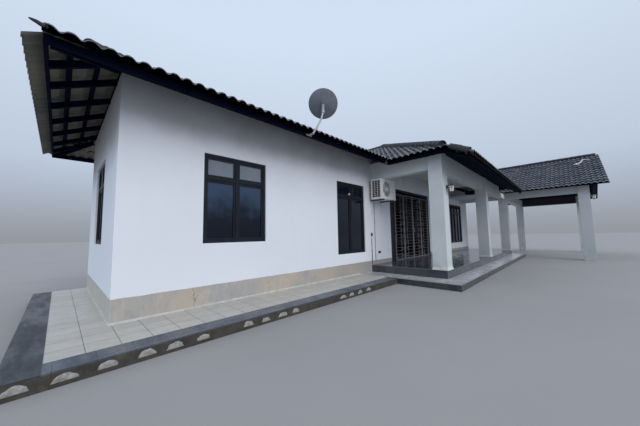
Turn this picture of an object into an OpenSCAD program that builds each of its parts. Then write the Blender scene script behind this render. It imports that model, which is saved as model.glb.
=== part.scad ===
/* [Walls] */
// Thickness of the plastered brick walls
wall_t = 150; // [110:10:200]
// Length of the left block along the front
left_w = 6140; // [5900:20:6600]
// Width of the central wing
wing_w = 7400; // [7200:20:7600]
// Length of the right block along the front
right_w = 2660; // [2560:20:2760]
// Depth of the left and right blocks
block_d = 3760; // [3600:20:4000]
// Depth of the central wing
wing_d = 7500; // [7000:50:9000]
// Height of the white wall above the plinth
wall_h = 3136; // [3000:10:3200]
// Height of the plinth's top above the ground
plinth_z = 460; // [440:10:500]
// Height of the porch floor and the floor inside
floor_z = 340; // [320:10:360]
// Height of the tiled apron and the porch's lower step
apron_z = 140; // [120:10:160]

/* [Roofs] */
// Pitch of the house roofs in degrees
pitch = 26; // [24:0.5:27]
// Pitch of the carport roof in degrees
carport_pitch = 28; // [25:0.5:29]
// Horizontal overhang of the block roofs in front and behind, to the tile edge
overhang = 810; // [700:10:900]
// Horizontal overhang of the block roofs at the left and right ends
side_hang = 870; // [820:10:900]
// Square notch in the tiles at each outer hip corner
corner_notch = 140; // [100:10:160]
// Horizontal overhang of the wing's sides, to the tile edge
wing_side_hang = 340; // [300:10:400]
// Horizontal overhang of the porch roof in front of its columns
porch_hang = 800; // [700:10:850]
// Thickness of the tile covering, measured upright
tile_t = 50; // [40:5:60]
// Distance from the tile edge back to the fascia board
tile_nose = 90; // [60:5:120]
// Distance between rafters
rafter_pitch = 742; // [600:1:800]
// Width of a rafter
rafter_w = 50; // [40:5:75]
// Depth of a rafter, measured upright
rafter_h = 90; // [70:2:100]
// Height of the timber plates on the walls
plate_h = 94; // [80:2:110]
// Width of a tile batten
batten_w = 60; // [40:5:70]
// Thickness of a tile batten, measured upright
batten_h = 28; // [20:2:30]
// Radius of the ridge and hip tiles
cap_r = 105; // [90:5:120]
// Thickness of the soffit boards, measured upright
soffit_t = 10; // [8:1:14]

/* [Porch and carport] */
// Side of the square columns
column_w = 350; // [300:10:380]
// Distance from the house front to the front of the columns
porch_d = 2150; // [2000:10:2300]
// Left face of the middle porch column, from the wing's left wall
column_2_x = 4490; // [4300:10:4700]
// Left face of the carport's near columns, from the wing's left wall
column_3_x = 8810; // [8600:10:8900]
// Distance between the carport's near and far columns
carport_l = 5700; // [5400:50:6000]
// Width of the carport over its columns
carport_w = 3200; // [3000:50:3500]
// Underside of the beams above the ground
beam_z = 2860; // [2750:10:2900]
// Width of the beams
beam_w = 250; // [200:10:280]
// Height of the flared foot of the porch columns
flare_h = 70; // [50:5:90]
// Height of the porch ceiling above the ground
ceiling_z = 3480; // [3400:10:3490]

/* [Door and grille] */
// Left side of the doorway, from the wing's left wall
door_x = 1200; // [1150:10:1300]
// Width of the doorway in the wall
door_w = 3280; // [3200:10:3290]
// Height of the doorway above the porch floor
door_h = 2500; // [2400:10:2560]
// Width of the dark door posts
post_w = 260; // [100:10:280]
// Number of rungs in each grille
rungs = 20; // [16:2:24]
// How far the door leaves stand open, in degrees
door_angle = 0; // [0:5:95]

/* [Hidden] */

// The origin is on the ground, under the middle of the central wing's floor.
wing_x0 = -wing_w / 2;
wing_x1 = wing_w / 2;
front_y = -wing_d / 2;
back_y = wing_d / 2;
left_x = wing_x0 - left_w;
right_x = wing_x1 + right_w;
block_y = front_y + block_d;
plate_z = plinth_z + wall_h;
rise = tan(pitch);
carport_rise = tan(carport_pitch);

// Play between timbers and what they carry
timber_gap = 0.5;

// Tile covering: heights are those of the top of the shell, at the eaves
eave_x0 = left_x - side_hang;
eave_x1 = right_x + side_hang;
hip_x0 = left_x - overhang;
hip_x1 = right_x + overhang;
eave_y0 = front_y - overhang;
eave_y1 = block_y + overhang;
block_eave_z = plate_z + plate_h + tile_t - rise * overhang;
side_eave_z = block_eave_z - rise * (side_hang - overhang);
wing_eave_x = wing_w / 2 + wing_side_hang;
wing_plate_z = 3290;
wing_eave_z = wing_plate_z + 111 + tile_t - rise * wing_side_hang;
wing_eave_y0 = front_y - porch_d - porch_hang;
wing_hip_y0 = front_y - porch_d - 280;
wing_front_z = wing_eave_z + rise * (wing_eave_y0 - wing_hip_y0);
wing_eave_y1 = back_y + wing_side_hang;
roof_base = 2000;
hip_start = 280;
wing_hip_start = 190;
cap_lift = 10;
verge_drop = 35;

// Columns and carport
col_y1 = front_y - porch_d + column_w;
col_y0 = front_y - porch_d;
col_1_x = wing_x0;
col_2_x = wing_x0 + column_2_x;
col_3_x = wing_x0 + column_3_x;
col_4_x = col_3_x + carport_l;
carport_y0 = col_y1 - carport_w;
carport_hang_x = 425;
carport_hang_y = 550;
carport_x0 = col_3_x - carport_hang_x;
carport_x1 = col_4_x + column_w + carport_hang_x;
carport_eave_z = 3135;
carport_plate_z = carport_eave_z + carport_rise * carport_hang_x - tile_t;
carport_mid_x = (carport_x0 + carport_x1) / 2;
carport_ridge_z = carport_eave_z + carport_rise * (carport_mid_x - carport_x0);
side_beam_z = 2910;
beam_set = (column_w - beam_w) / 2;
porch_beam_y = col_y0 + beam_set;
side_beam_x0 = wing_x0 + beam_set;
side_beam_x1 = wing_x1 - beam_set;
carport_beam_x = col_3_x + beam_set;
flat_roof_z = 3000;
flat_roof_t = 80;
ceiling_t = 12;
board_t = 60;

// Windows: left side, sill above the plinth's top, width, height
window_1 = [left_x + 1162, 695, 1228, 1544];
window_2 = [left_x + 4596, 279, 1240, 1954];
window_3 = [wing_x0 + 7090, 279, 1950, 1970];
side_window = [front_y + 1400, 700, 1290, 1520];
back_sill = 695;
frame_w = 45;
sash_w = 40;
sash_d = 44;
sash_set = 14;
frame_d = 90;
frame_set = 30;
glass_t = 6;

// Door
leaf_gap = 10;
door_x0 = wing_x0 + door_x;
door_head = 90;
leaf_t = 32;
leaf_z0 = floor_z + 14;
leaf_z1 = floor_z + door_h - door_head - 90;
grille_x0 = door_x0 + post_w;
grille_w = door_w - 2 * post_w;
side_panel_w = 665;
leaf_w = (grille_w - 2 * side_panel_w) / 2;
leaf_y1 = front_y - 6;
leaf_y0 = leaf_y1 - leaf_t;
leaf_mid_y = (leaf_y0 + leaf_y1) / 2;
pivot_y = leaf_y0 - 12;
hinge_left_x = grille_x0 + side_panel_w;
hinge_right_x = grille_x0 + grille_w - side_panel_w;

white_paint = "whitesmoke";
cement = "tan";
dark_tile = "dimgray";
pale_paint = "gainsboro";
roof_black = "darkslategray";
timber = "black";
bronze = "#2f2c2a";

// A box between two corners
module block(x0, x1, y0, y1, z0, z1) {
    translate([x0, y0, z0]) cube([x1 - x0, y1 - y0, z1 - z0]);
}

// A profile in Y and Z, drawn out along X
module along_x(x0, x1, points) {
    translate([x0, 0, 0]) rotate([90, 0, 90]) linear_extrude(height = x1 - x0) polygon(points);
}

// A profile in X and Z, drawn out along Y
module along_y(y0, y1, points) {
    translate([0, y1, 0]) rotate([90, 0, 0]) linear_extrude(height = y1 - y0) polygon(points);
}

// Two slopes over a flat base, between eaves at a0 and a1 with heights z0 and z1
function slopes(a0, z0, a1, z1, m) =
    let (apex = (z1 - z0) / (2 * m) + (a0 + a1) / 2)
    [[a0, roof_base], [a1, roof_base], [a1, z1], [apex, z0 + m * (apex - a0)], [a0, z0]];

// Everything under the long hipped roof over both blocks
module long_roof_solid() {
    intersection() {
        along_x(eave_x0, eave_x1, slopes(eave_y0, block_eave_z, eave_y1, block_eave_z, rise));
        along_y(eave_y0, eave_y1, slopes(eave_x0, side_eave_z, eave_x1, side_eave_z, rise));
    }
}

// Everything under the wing's hipped roof, whose front slope runs on down over the porch
module wing_roof_solid() {
    e = wing_eave_x;
    intersection() {
        along_x(-e, e, slopes(wing_eave_y0, wing_front_z, wing_eave_y1, wing_eave_z, rise));
        along_y(wing_eave_y0, wing_eave_y1, slopes(-e, wing_eave_z, e, wing_eave_z, rise));
    }
}

// The space below the tile covering: the same solid, lowered by the covering's thickness
module lowered() {
    translate([0, 0, -tile_t]) children();
}

// No tile reaches into the outer corners, where the hip caps begin
module corner_notches() {
    for (x = [eave_x0, eave_x1], y = [eave_y0, eave_y1])
        translate([x - corner_notch, y - corner_notch, roof_base])
            cube([2 * corner_notch, 2 * corner_notch, 2000]);
}

module long_roof_shell() {
    difference() {
        long_roof_solid();
        lowered() long_roof_solid();
        corner_notches();
    }
}

module left_roof() {
    color(roof_black) difference() {
        intersection() {
            long_roof_shell();
            block(eave_x0 - 1, 0, eave_y0 - 1, eave_y1 + 1, roof_base, 6000);
        }
        wing_roof_solid();
    }
}

module right_roof() {
    color(roof_black) difference() {
        intersection() {
            long_roof_shell();
            block(0, eave_x1 + 1, eave_y0 - 1, eave_y1 + 1, roof_base, 6000);
        }
        wing_roof_solid();
    }
}

module wing_roof() {
    color(roof_black) difference() {
        wing_roof_solid();
        lowered() wing_roof_solid();
        lowered() long_roof_solid();
    }
}

module carport_roof() {
    color(roof_black) along_y(carport_y0 - carport_hang_y, col_y1 + carport_hang_y, [
        [carport_x0, carport_eave_z - tile_t], [carport_x0, carport_eave_z],
        [carport_mid_x, carport_ridge_z], [carport_x1, carport_eave_z],
        [carport_x1, carport_eave_z - tile_t], [carport_mid_x, carport_ridge_z - tile_t]
    ]);
}

// A round tile cap between two points of a ridge or hip
module cap(a, b) {
    d = b - a;
    length = norm(d);
    translate(a) rotate([0, acos(d[2] / length), atan2(d[1], d[0])])
        cylinder(r = cap_r, h = length, $fn = 24);
}

// A hip cap starts a little way up from the corner of the eaves
module hip_cap(corner, apex, start) {
    cap(corner + (apex - corner) * start / (apex[2] - corner[2]) * rise, apex);
}

// A turned cap where hips and ridge meet
module knob(p) {
    r = cap_r + 20;
    translate(p) rotate_extrude($fn = 32)
        polygon([[0, -r], [r, -r], [r, 0.2 * r], [0.85 * r, 0.6 * r], [0.4 * r, r], [0, r]]);
}

module roof_caps() {
    long_half = (eave_y1 - eave_y0) / 2;
    long_top = block_eave_z + rise * long_half;
    long_y = (eave_y0 + eave_y1) / 2;
    left_apex = [hip_x0 + long_half, long_y, long_top];
    right_apex = [hip_x1 - long_half, long_y, long_top];
    valley_x = wing_eave_x - (long_top - wing_eave_z) / rise;
    wing_top = wing_eave_z + rise * wing_eave_x;
    front_apex = [0, wing_hip_y0 + wing_eave_x, wing_top];
    back_apex = [0, wing_eave_y1 - wing_eave_x, wing_top];
    carport_end = [carport_mid_x, col_y1 + carport_hang_y, carport_ridge_z];
    color(roof_black) difference() {
        translate([0, 0, cap_lift]) union() {
            for (y = [eave_y0, eave_y1]) {
                hip_cap([hip_x0, y, block_eave_z], left_apex, hip_start);
                hip_cap([hip_x1, y, block_eave_z], right_apex, hip_start);
            }
            cap(left_apex, [-valley_x + 200, long_y, long_top]);
            cap([valley_x - 200, long_y, long_top], right_apex);
            for (side = [-1, 1]) {
                hip_cap([side * wing_eave_x, wing_hip_y0, wing_eave_z], front_apex,
                    wing_hip_start);
                hip_cap([side * wing_eave_x, wing_eave_y1, wing_eave_z], back_apex,
                    wing_hip_start);
                verge_x = side * (wing_eave_x - 60);
                cap([verge_x, wing_eave_y0, wing_front_z - verge_drop],
                    [verge_x, wing_hip_y0 - 60, wing_eave_z - rise * 60 - verge_drop]);
            }
            cap(front_apex, back_apex);
            for (p = [left_apex, right_apex, front_apex, back_apex]) knob(p);
            cap([carport_mid_x, carport_y0 - carport_hang_y, carport_ridge_z], carport_end);
        }
        long_roof_solid();
        wing_roof_solid();
        along_y(carport_y0 - carport_hang_y - 200, col_y1 + carport_hang_y + 200, [
            [carport_x0, roof_base], [carport_x1, roof_base], [carport_x1, carport_eave_z],
            [carport_mid_x, carport_ridge_z], [carport_x0, carport_eave_z]
        ]);
    }
}

// Opening in a wall that runs along X: w is left side, sill, width, height
module window_hole_x(w, y) {
    block(w[0], w[0] + w[2], y - 10, y + wall_t + 10, plinth_z + w[1], plinth_z + w[1] + w[3]);
}

module window_hole_y(w, x) {
    block(x - 10, x + wall_t + 10, w[0], w[0] + w[2], plinth_z + w[1], plinth_z + w[1] + w[3]);
}

// Windows of the unseen sides, like those in front
back_window_left = [left_x + 2400, back_sill, 1228, 1544];
back_window_right = [wing_x1 + 700, back_sill, 1228, 1544];
wing_back_windows = [
    [wing_x0 + 1100, back_sill, 1228, 1544],
    [wing_x1 - 1100 - 1228, back_sill, 1228, 1544]
];

module floor_slab() {
    t = wall_t;
    color("lightgray") union() {
        block(left_x + t, right_x - t, front_y + t, block_y - t, 0, floor_z);
        block(wing_x0 + t, wing_x1 - t, front_y + t, back_y - t, 0, floor_z);
    }
}

module plinth() {
    t = wall_t;
    color(cement) difference() {
        union() {
            block(left_x, right_x, front_y, block_y, 0, plinth_z);
            block(wing_x0, wing_x1, front_y, back_y, 0, plinth_z);
        }
        block(left_x + t, right_x - t, front_y + t, block_y - t, -10, plinth_z + 10);
        block(wing_x0 + t, wing_x1 - t, front_y + t, back_y - t, -10, plinth_z + 10);
        block(door_x0, door_x0 + door_w, front_y - 10, front_y + t + 10, floor_z, plinth_z + 10);
    }
}

module left_wall() {
    color(white_paint) difference() {
        block(left_x, left_x + wall_t, front_y, block_y, plinth_z, plate_z);
        window_hole_y(side_window, left_x);
    }
}

module front_wall_left() {
    color(white_paint) difference() {
        block(left_x + wall_t, door_x0, front_y, front_y + wall_t, plinth_z, plate_z);
        window_hole_x(window_1, front_y);
        window_hole_x(window_2, front_y);
    }
}

module front_wall_over_door() {
    color(white_paint)
        block(door_x0, door_x0 + door_w, front_y, front_y + wall_t, floor_z + door_h, plate_z);
}

module front_wall_right() {
    color(white_paint) difference() {
        block(door_x0 + door_w, right_x - wall_t, front_y, front_y + wall_t, plinth_z, plate_z);
        window_hole_x(window_3, front_y);
    }
}

module right_wall() {
    color(white_paint) difference() {
        block(right_x - wall_t, right_x, front_y, block_y, plinth_z, plate_z);
        window_hole_y(side_window, right_x - wall_t);
    }
}

module back_wall_left() {
    color(white_paint) difference() {
        block(left_x + wall_t, wing_x0, block_y - wall_t, block_y, plinth_z, plate_z);
        window_hole_x(back_window_left, block_y - wall_t);
    }
}

module back_wall_right() {
    color(white_paint) difference() {
        block(wing_x1, right_x - wall_t, block_y - wall_t, block_y, plinth_z, plate_z);
        window_hole_x(back_window_right, block_y - wall_t);
    }
}

module wing_wall_left() {
    color(white_paint)
        block(wing_x0, wing_x0 + wall_t, block_y - wall_t, back_y, plinth_z, wing_plate_z);
}

module wing_wall_right() {
    color(white_paint)
        block(wing_x1 - wall_t, wing_x1, block_y - wall_t, back_y, plinth_z, wing_plate_z);
}

module wing_back_wall() {
    color(white_paint) difference() {
        block(wing_x0 + wall_t, wing_x1 - wall_t, back_y - wall_t, back_y, plinth_z, wing_plate_z);
        for (w = wing_back_windows) window_hole_x(w, back_y - wall_t);
    }
}

// Timber plates on the walls, up to the underside of the tile covering
module wall_plates() {
    t = wall_t;
    z0 = plate_z;
    z1 = plate_z + plate_h;
    w0 = wing_plate_z;
    w1 = wing_plate_z + 111;
    color(timber) union() {
        block(left_x, right_x, front_y, front_y + t, z0, z1);
        block(left_x, wing_x0, block_y - t, block_y, z0, z1);
        block(wing_x1, right_x, block_y - t, block_y, z0, z1);
        for (x = [left_x, right_x - t]) block(x, x + t, front_y + t, block_y - t, z0, z1);
        for (x = [wing_x0, wing_x1 - t]) block(x, x + t, block_y - t, back_y - t, w0, w1);
        block(wing_x0, wing_x1, back_y - t, back_y, w0, w1);
    }
}

module apron() {
    color("burlywood") union() {
        block(left_x - 560, left_x, front_y - 860, block_y, 0, apron_z);
        block(left_x, step_x0, front_y - 860, front_y, 0, apron_z);
    }
}

apron_border = 270;
step_x0 = wing_x0 - 610;
step_x1 = col_3_x + column_w + 610;
step_y0 = col_y0 - 460;

module apron_kerb() {
    color(dark_tile) union() {
        block(left_x - 560 - apron_border, left_x - 560, front_y - 860 - apron_border, block_y,
            0, apron_z);
        block(left_x - 560, step_x0, front_y - 860 - apron_border, front_y - 860, 0, apron_z);
    }
}

module porch_floor() {
    color(dark_tile) block(wing_x0, col_3_x + column_w, col_y0, front_y, 0, floor_z);
}

module porch_step() {
    color(dark_tile) union() {
        block(step_x0, wing_x0, step_y0, front_y, 0, apron_z);
        block(wing_x0, col_3_x + column_w, step_y0, col_y0, 0, apron_z);
        block(col_3_x + column_w, step_x1, step_y0, front_y, 0, apron_z);
    }
}

// A square plastered column from z0 up to z1
module column(x, y, z0, z1) {
    color(pale_paint) block(x, x + column_w, y, y + column_w, z0, z1);
}

// A column on the porch floor, whose foot flares out
module porch_column(x, z1) {
    f = 18;
    w = column_w;
    side = [[-f, floor_z], [w + f, floor_z], [w + f, floor_z + f], [w, floor_z + flare_h], [w, z1],
        [0, z1], [0, floor_z + flare_h], [-f, floor_z + f]];
    color(pale_paint) translate([x, col_y0, 0]) intersection() {
        along_x(-f, w + f, side);
        along_y(-f, w + f, side);
    }
}

// The columns under the porch roof pass the beam and end below the soffit
module porch_column_left() {
    difference() {
        porch_column(col_1_x, 3600);
        above_porch_roof();
    }
}

module porch_column_middle() {
    difference() {
        porch_column(col_2_x, 3600);
        above_porch_roof();
    }
}

module carport_column_near_left() {
    porch_column(col_3_x, carport_plate_z);
}

module carport_column_near_right() {
    column(col_3_x, carport_y0, 0, carport_plate_z);
}

module carport_column_far_left() {
    column(col_4_x, col_y0, 0, carport_plate_z);
}

module carport_column_far_right() {
    column(col_4_x, carport_y0, 0, carport_plate_z);
}

// Everything above the underside of the porch roof
module above_porch_roof() {
    difference() {
        block(wing_x0 - 10, wing_x1 + 10, col_y0 - 10, front_y + 10, beam_z, 4600);
        lowered() wing_roof_solid();
    }
}

// Front beam of the porch, between the columns; beyond the porch roof it carries the flat roof
module porch_beam() {
    y = porch_beam_y;
    color(pale_paint) difference() {
        union() {
            block(col_1_x + column_w, col_2_x, y, y + beam_w, beam_z, 3600);
            block(col_2_x + column_w, wing_x1, y, y + beam_w, beam_z, 3600);
            block(wing_x1, col_3_x, y, y + beam_w, beam_z, flat_roof_z + flat_roof_t);
        }
        above_porch_roof();
    }
}

// Beams that run back from the front beam to the house
module porch_side_beams() {
    color(pale_paint) union() {
        difference() {
            block(side_beam_x0, side_beam_x0 + beam_w, col_y1, front_y, side_beam_z, 3600);
            block(side_beam_x1 - beam_w, side_beam_x1, porch_beam_y + beam_w, front_y,
                side_beam_z, 3600);
            above_porch_roof();
        }
        block(carport_beam_x, carport_beam_x + beam_w, col_y1, front_y, beam_z,
            flat_roof_z + flat_roof_t);
    }
}

module porch_ceiling() {
    color(white_paint)
        difference() {
            block(side_beam_x0 + beam_w, side_beam_x1 - beam_w, porch_beam_y + beam_w, front_y,
                ceiling_z - ceiling_t, ceiling_z);
            porch_column(col_1_x, 3600);
            porch_column(col_2_x, 3600);
        }
}

// Slab between the porch roof and the carport roof, which drains both
module porch_flat_roof() {
    color(pale_paint) difference() {
        block(side_beam_x1, carport_beam_x, porch_beam_y + beam_w, front_y, flat_roof_z,
            flat_roof_z + flat_roof_t);
        porch_column(col_3_x, carport_plate_z);
    }
}

module carport_beams() {
    color(pale_paint) union() {
        for (x = [col_3_x, col_4_x])
            block(x + beam_set, x + beam_set + beam_w, carport_y0 + column_w, col_y0, beam_z,
                carport_plate_z);
        for (y = [carport_y0, col_y0])
            block(col_3_x + column_w, col_4_x, y + beam_set, y + beam_set + beam_w, beam_z,
                carport_plate_z);
    }
}

module carport_ceiling() {
    color(white_paint)
        difference() {
            block(col_3_x + beam_set + beam_w, col_4_x + beam_set, carport_y0 + beam_set + beam_w,
                col_y0 + beam_set, carport_plate_z - 30, carport_plate_z - 30 + ceiling_t);
            for (x = [col_3_x, col_4_x], y = [carport_y0, col_y0]) column(x, y, 0, carport_plate_z);
        }
}

fascia_t = 32;
fascia_h = 95;

// Boards along the eaves, under the projecting tile edge
module fascia_boards() {
    n = tile_nose;
    top = block_eave_z - tile_t + rise * n;
    wing_top = wing_eave_z - tile_t + rise * n;
    front_top = wing_front_z - tile_t + rise * n;
    t = fascia_t;
    h = fascia_h;
    color(timber) union() {
        difference() {
            block(hip_x0 + n, hip_x1 - n, eave_y0 + n, eave_y1 - n, top - h, top);
            block(hip_x0 + n + t, hip_x1 - n - t, eave_y0 + n + t, eave_y1 - n - t,
                top - h - 10, top + 10);
            block(-wing_eave_x + n, wing_eave_x - n, eave_y0, eave_y1, top - h - 10, top + 10);
        }
        difference() {
            block(-wing_eave_x + n, wing_eave_x - n, wing_eave_y0 + n, wing_eave_y1 - n,
                wing_top - h, wing_top);
            block(-wing_eave_x + n + t, wing_eave_x - n - t, wing_eave_y0, wing_eave_y1 - n - t,
                wing_top - h - 10, wing_top + 10);
            block(-6000, 6000, eave_y0, eave_y1, wing_top - h - 10, wing_top + 10);
            block(-6000, 6000, wing_eave_y0, wing_hip_y0 + n, wing_top - h - 10, wing_top + 10);
        }
        block(-wing_eave_x + n, wing_eave_x - n, wing_eave_y0 + n, wing_eave_y0 + n + t,
            front_top - h, front_top);
    }
}

// Outline of a rafter tail from a to b, rising at the roof's pitch
function tail(a, b, z, h, m) = [[a, z], [b, z + m * (b - a)], [b, z + m * (b - a) - h], [a, z - h]];

// A copy of the children at both ends of the long roof
module both_ends() {
    children();
    translate([hip_x0 + hip_x1, 0, 0]) mirror([1, 0, 0]) children();
}

// Rafter tails of the left end, up to the wall plate: long ones, a short one by each corner and
// the hip rafters
module end_rafters() {
    n = tile_nose + fascia_t;
    w = rafter_w;
    under = block_eave_z - tile_t - batten_h - 2 * timber_gap;
    for (y = [front_y + 385 : rafter_pitch : block_y])
        along_y(y - w / 2, y + w / 2, tail(hip_x0 + n, left_x, under + rise * n, rafter_h, rise));
    jack = 190;
    for (y = [front_y - jack, block_y + jack])
        along_y(y - w / 2, y + w / 2,
            tail(hip_x0 + n, left_x - jack - 70, under + rise * n, rafter_h, rise));
    hip_rise = rise / sqrt(2);
    length = (overhang - n) * sqrt(2);
    z = under + rise * n - rise * w / 2 + hip_rise * w;
    for (side = [0, 1])
        translate([hip_x0 + n, side ? eave_y1 - n : eave_y0 + n, 0]) rotate([0, 0, side ? -45 : 45])
            along_y(-w / 2, w / 2, tail(w, length - w, z, rafter_h, hip_rise));
}

module eave_rafters() {
    n = tile_nose + fascia_t;
    w = rafter_w;
    under = block_eave_z - tile_t - batten_h - 2 * timber_gap + rise * n;
    color(timber) union() {
        both_ends() end_rafters();
        for (x = [for (x = [left_x + 200 : rafter_pitch : wing_x0 - 400]) x, right_x - 200,
                right_x - 200 - rafter_pitch, right_x - 200 - 2 * rafter_pitch])
            along_x(x - w / 2, x + w / 2, [
                [eave_y1 - n, under], [block_y, under + rise * (overhang - n)],
                [block_y, under + rise * (overhang - n) - rafter_h], [eave_y1 - n, under - rafter_h]
            ]);
    }
}

// Battens lie between the rafters and the tiles of the two ends
module tile_battens() {
    under = block_eave_z - tile_t - timber_gap;
    color(timber) both_ends() for (a = [260, 525])
        along_y(eave_y0 + a + 60, eave_y1 - a - 60,
            tail(hip_x0 + a, hip_x0 + a + batten_w, under + rise * a, batten_h, rise));
}

// The space between two lowered copies of the children
module board_under(drop) {
    difference() {
        translate([0, 0, -drop]) children();
        translate([0, 0, -drop - soffit_t]) children();
    }
}

// Boards that close the eaves in front, along the blocks and round the porch
module soffit_boards() {
    n = tile_nose + fascia_t;
    block_drop = tile_t + plate_h - soffit_t;
    porch_drop = tile_t + 60;
    clear = rafter_w * 0.8;
    color(timber) union() {
        intersection() {
            board_under(block_drop) long_roof_solid();
            translate([0, 0, roof_base]) linear_extrude(height = 3000) {
                polygon([[hip_x0 + n + clear, eave_y0 + n], [left_x + clear, front_y],
                    [wing_x0 - 1, front_y], [wing_x0 - 1, eave_y0 + n]]);
                polygon([[hip_x1 - n - clear, eave_y0 + n], [right_x - clear, front_y],
                    [wing_x1 + 1, front_y], [wing_x1 + 1, eave_y0 + n]]);
            }
        }
        difference() {
            intersection() {
                board_under(porch_drop) wing_roof_solid();
                block(-wing_eave_x + n, wing_eave_x - n, wing_eave_y0 + n, eave_y0 + n - 1,
                    roof_base, 5000);
            }
            block(side_beam_x0, wing_eave_x, porch_beam_y, front_y, roof_base, 5000);
            for (x = [col_1_x, col_2_x]) column(x, col_y0, 0, 5000);
        }
    }
}

// Dark boards that close the carport's gables, in front down over the beam
module gable_boards() {
    color(timber) union() {
        gable_board(carport_y0 - board_t, 2810);
        gable_board(col_y1, flat_roof_z + flat_roof_t);
    }
}

module gable_board(y, z0) {
    x0 = col_3_x;
    x1 = col_4_x + column_w;
    eave_top = carport_eave_z - tile_t - timber_gap;
    along_y(y, y + board_t, [
        [x0, z0], [x1, z0], [x1, eave_top + carport_rise * (carport_x1 - x1)],
        [carport_mid_x, carport_ridge_z - tile_t - timber_gap],
        [x0, eave_top + carport_rise * (x0 - carport_x0)]
    ]);
}

// A sash that fills a light of a by b
module sash(a, b) {
    w = sash_w;
    difference() {
        translate([-1, sash_set, -1]) cube([a + 2, sash_d, b + 2]);
        translate([w, sash_set - 10, w]) cube([a - 2 * w, sash_d + 20, b - 2 * w]);
    }
}

// A window frame in a wall along X, with posts, a transom and a sash in each light
module frame_x(w, y, posts, transom) {
    f = frame_w;
    a = (w[2] - f * (posts + 2)) / (posts + 1);
    heights = [transom - 1.5 * f, w[3] - transom - 1.5 * f];
    translate([w[0], y, plinth_z + w[1]]) union() {
        difference() {
            cube([w[2], frame_d, w[3]]);
            for (i = [0 : posts], k = [0, 1])
                translate([f + i * (a + f), -10, f + k * (heights[0] + f)])
                    cube([a, frame_d + 20, heights[k]]);
        }
        for (i = [0 : posts], k = [0, 1])
            translate([f + i * (a + f), 0, f + k * (heights[0] + f)]) sash(a, heights[k]);
    }
}

// The same frame in a wall behind or at an end: its outer side faces away from the house
module frame_back(w, y, posts, transom) {
    translate([0, y, 0]) mirror([0, 1, 0]) frame_x(w, 0, posts, transom);
}

module frame_left(w, x, posts, transom) {
    translate([x, 0, 0]) mirror([1, -1, 0]) frame_x(w, 0, posts, transom);
}

module frame_right(w, x, posts, transom) {
    translate([x, 0, 0]) mirror([1, 0, 0]) mirror([1, -1, 0]) frame_x(w, 0, posts, transom);
}

module front_window_frames() {
    color(bronze) union() {
        frame_x(window_1, front_y + frame_set, 1, 1120);
        frame_x(window_2, front_y + frame_set, 1, 1560);
        frame_x(window_3, front_y + frame_set, 3, 1560);
    }
}

module side_window_frames() {
    color(bronze) union() {
        frame_left(side_window, left_x + frame_set, 1, 1100);
        frame_right(side_window, right_x - frame_set, 1, 1100);
    }
}

module back_window_frames() {
    color(bronze) union() {
        frame_back(back_window_left, block_y - frame_set, 1, 1120);
        frame_back(back_window_right, block_y - frame_set, 1, 1120);
        for (w = wing_back_windows) frame_back(w, back_y - frame_set, 1, 1120);
    }
}

// Panes sit in the middle of the sashes and stop at their inner edges
module window_glass() {
    i = frame_w;
    m = sash_set + (sash_d - glass_t) / 2;
    color("lightsteelblue", 0.4) difference() {
        union() {
            for (w = [window_1, window_2, window_3])
                pane_x(w, front_y + frame_set + m);
            for (w = [back_window_left, back_window_right])
                pane_x(w, block_y - frame_set - m - glass_t);
            for (w = wing_back_windows) pane_x(w, back_y - frame_set - m - glass_t);
            for (x = [left_x + frame_set + m, right_x - frame_set - m - glass_t])
                block(x, x + glass_t, side_window[0] + i, side_window[0] + side_window[2] - i,
                    plinth_z + side_window[1] + i, plinth_z + side_window[1] + side_window[3] - i);
        }
        front_window_frames();
        side_window_frames();
        back_window_frames();
    }
}

module pane_x(w, y) {
    i = frame_w;
    block(w[0] + i, w[0] + w[2] - i, y, y + glass_t, plinth_z + w[1] + i,
        plinth_z + w[1] + w[3] - i);
}

// Dark posts and head round the doorway, with the sill
module door_frame() {
    z1 = floor_z + door_h;
    color(bronze) difference() {
        block(door_x0, door_x0 + door_w, front_y, front_y + wall_t, floor_z, z1);
        block(grille_x0, grille_x0 + grille_w, front_y - 10, front_y + wall_t + 10, floor_z - 10,
            z1 - door_head);
    }
}

// Flat iron of the grille's infill
iron_t = 10;
iron_d = 12;
stile_w = 30;
infill_y = leaf_mid_y + iron_d / 2;

// A straight flat bar from x0 to x1 at height z
module rung(x0, x1, z) {
    translate([x0, z - iron_t / 2, 0]) cube([x1 - x0, iron_t, iron_d]);
}

// Flat iron bent to an arc about the local origin, from angle a on through a sweep
module scroll(r, a, sweep) {
    rotate([0, 0, a]) rotate_extrude(angle = sweep, $fn = 40)
        translate([r - iron_t / 2, 0]) square([iron_t, iron_d]);
}

// Two rungs that a half round joins at x0, as one bent bar
module hairpin(x0, x1, z, r) {
    rung(x0 + r, x1, z - r);
    rung(x0 + r, x1, z + r);
    translate([x0 + r, z, 0]) scroll(r, 90, 180);
}

// An open ring with two tails: the ring touches x1 and the tails start at x0
module keyhole(x0, x1, z, r) {
    x = x1 - r - iron_t / 2;
    translate([x, z, 0]) scroll(r, -150, 300);
    for (side = [-1, 1]) rung(x0, x + r * cos(150) + 3, z + side * r / 2);
}

// The infill between two stiles, w wide and h high: hairpins on one side of an upright and
// keyhole scrolls on the other
module infill(w, h) {
    pitch = h / rungs;
    upright = 0.34 * w;
    translate([upright - iron_t / 2, -2, 0]) cube([iron_t, h + 4, iron_d]);
    for (k = [1 : 2 : rungs - 1]) {
        hairpin(upright + iron_t / 2 - 2, w + 2, k * pitch, pitch / 2);
        keyhole(-2, upright - iron_t / 2 + 2, k * pitch, 0.44 * pitch);
    }
}

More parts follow.
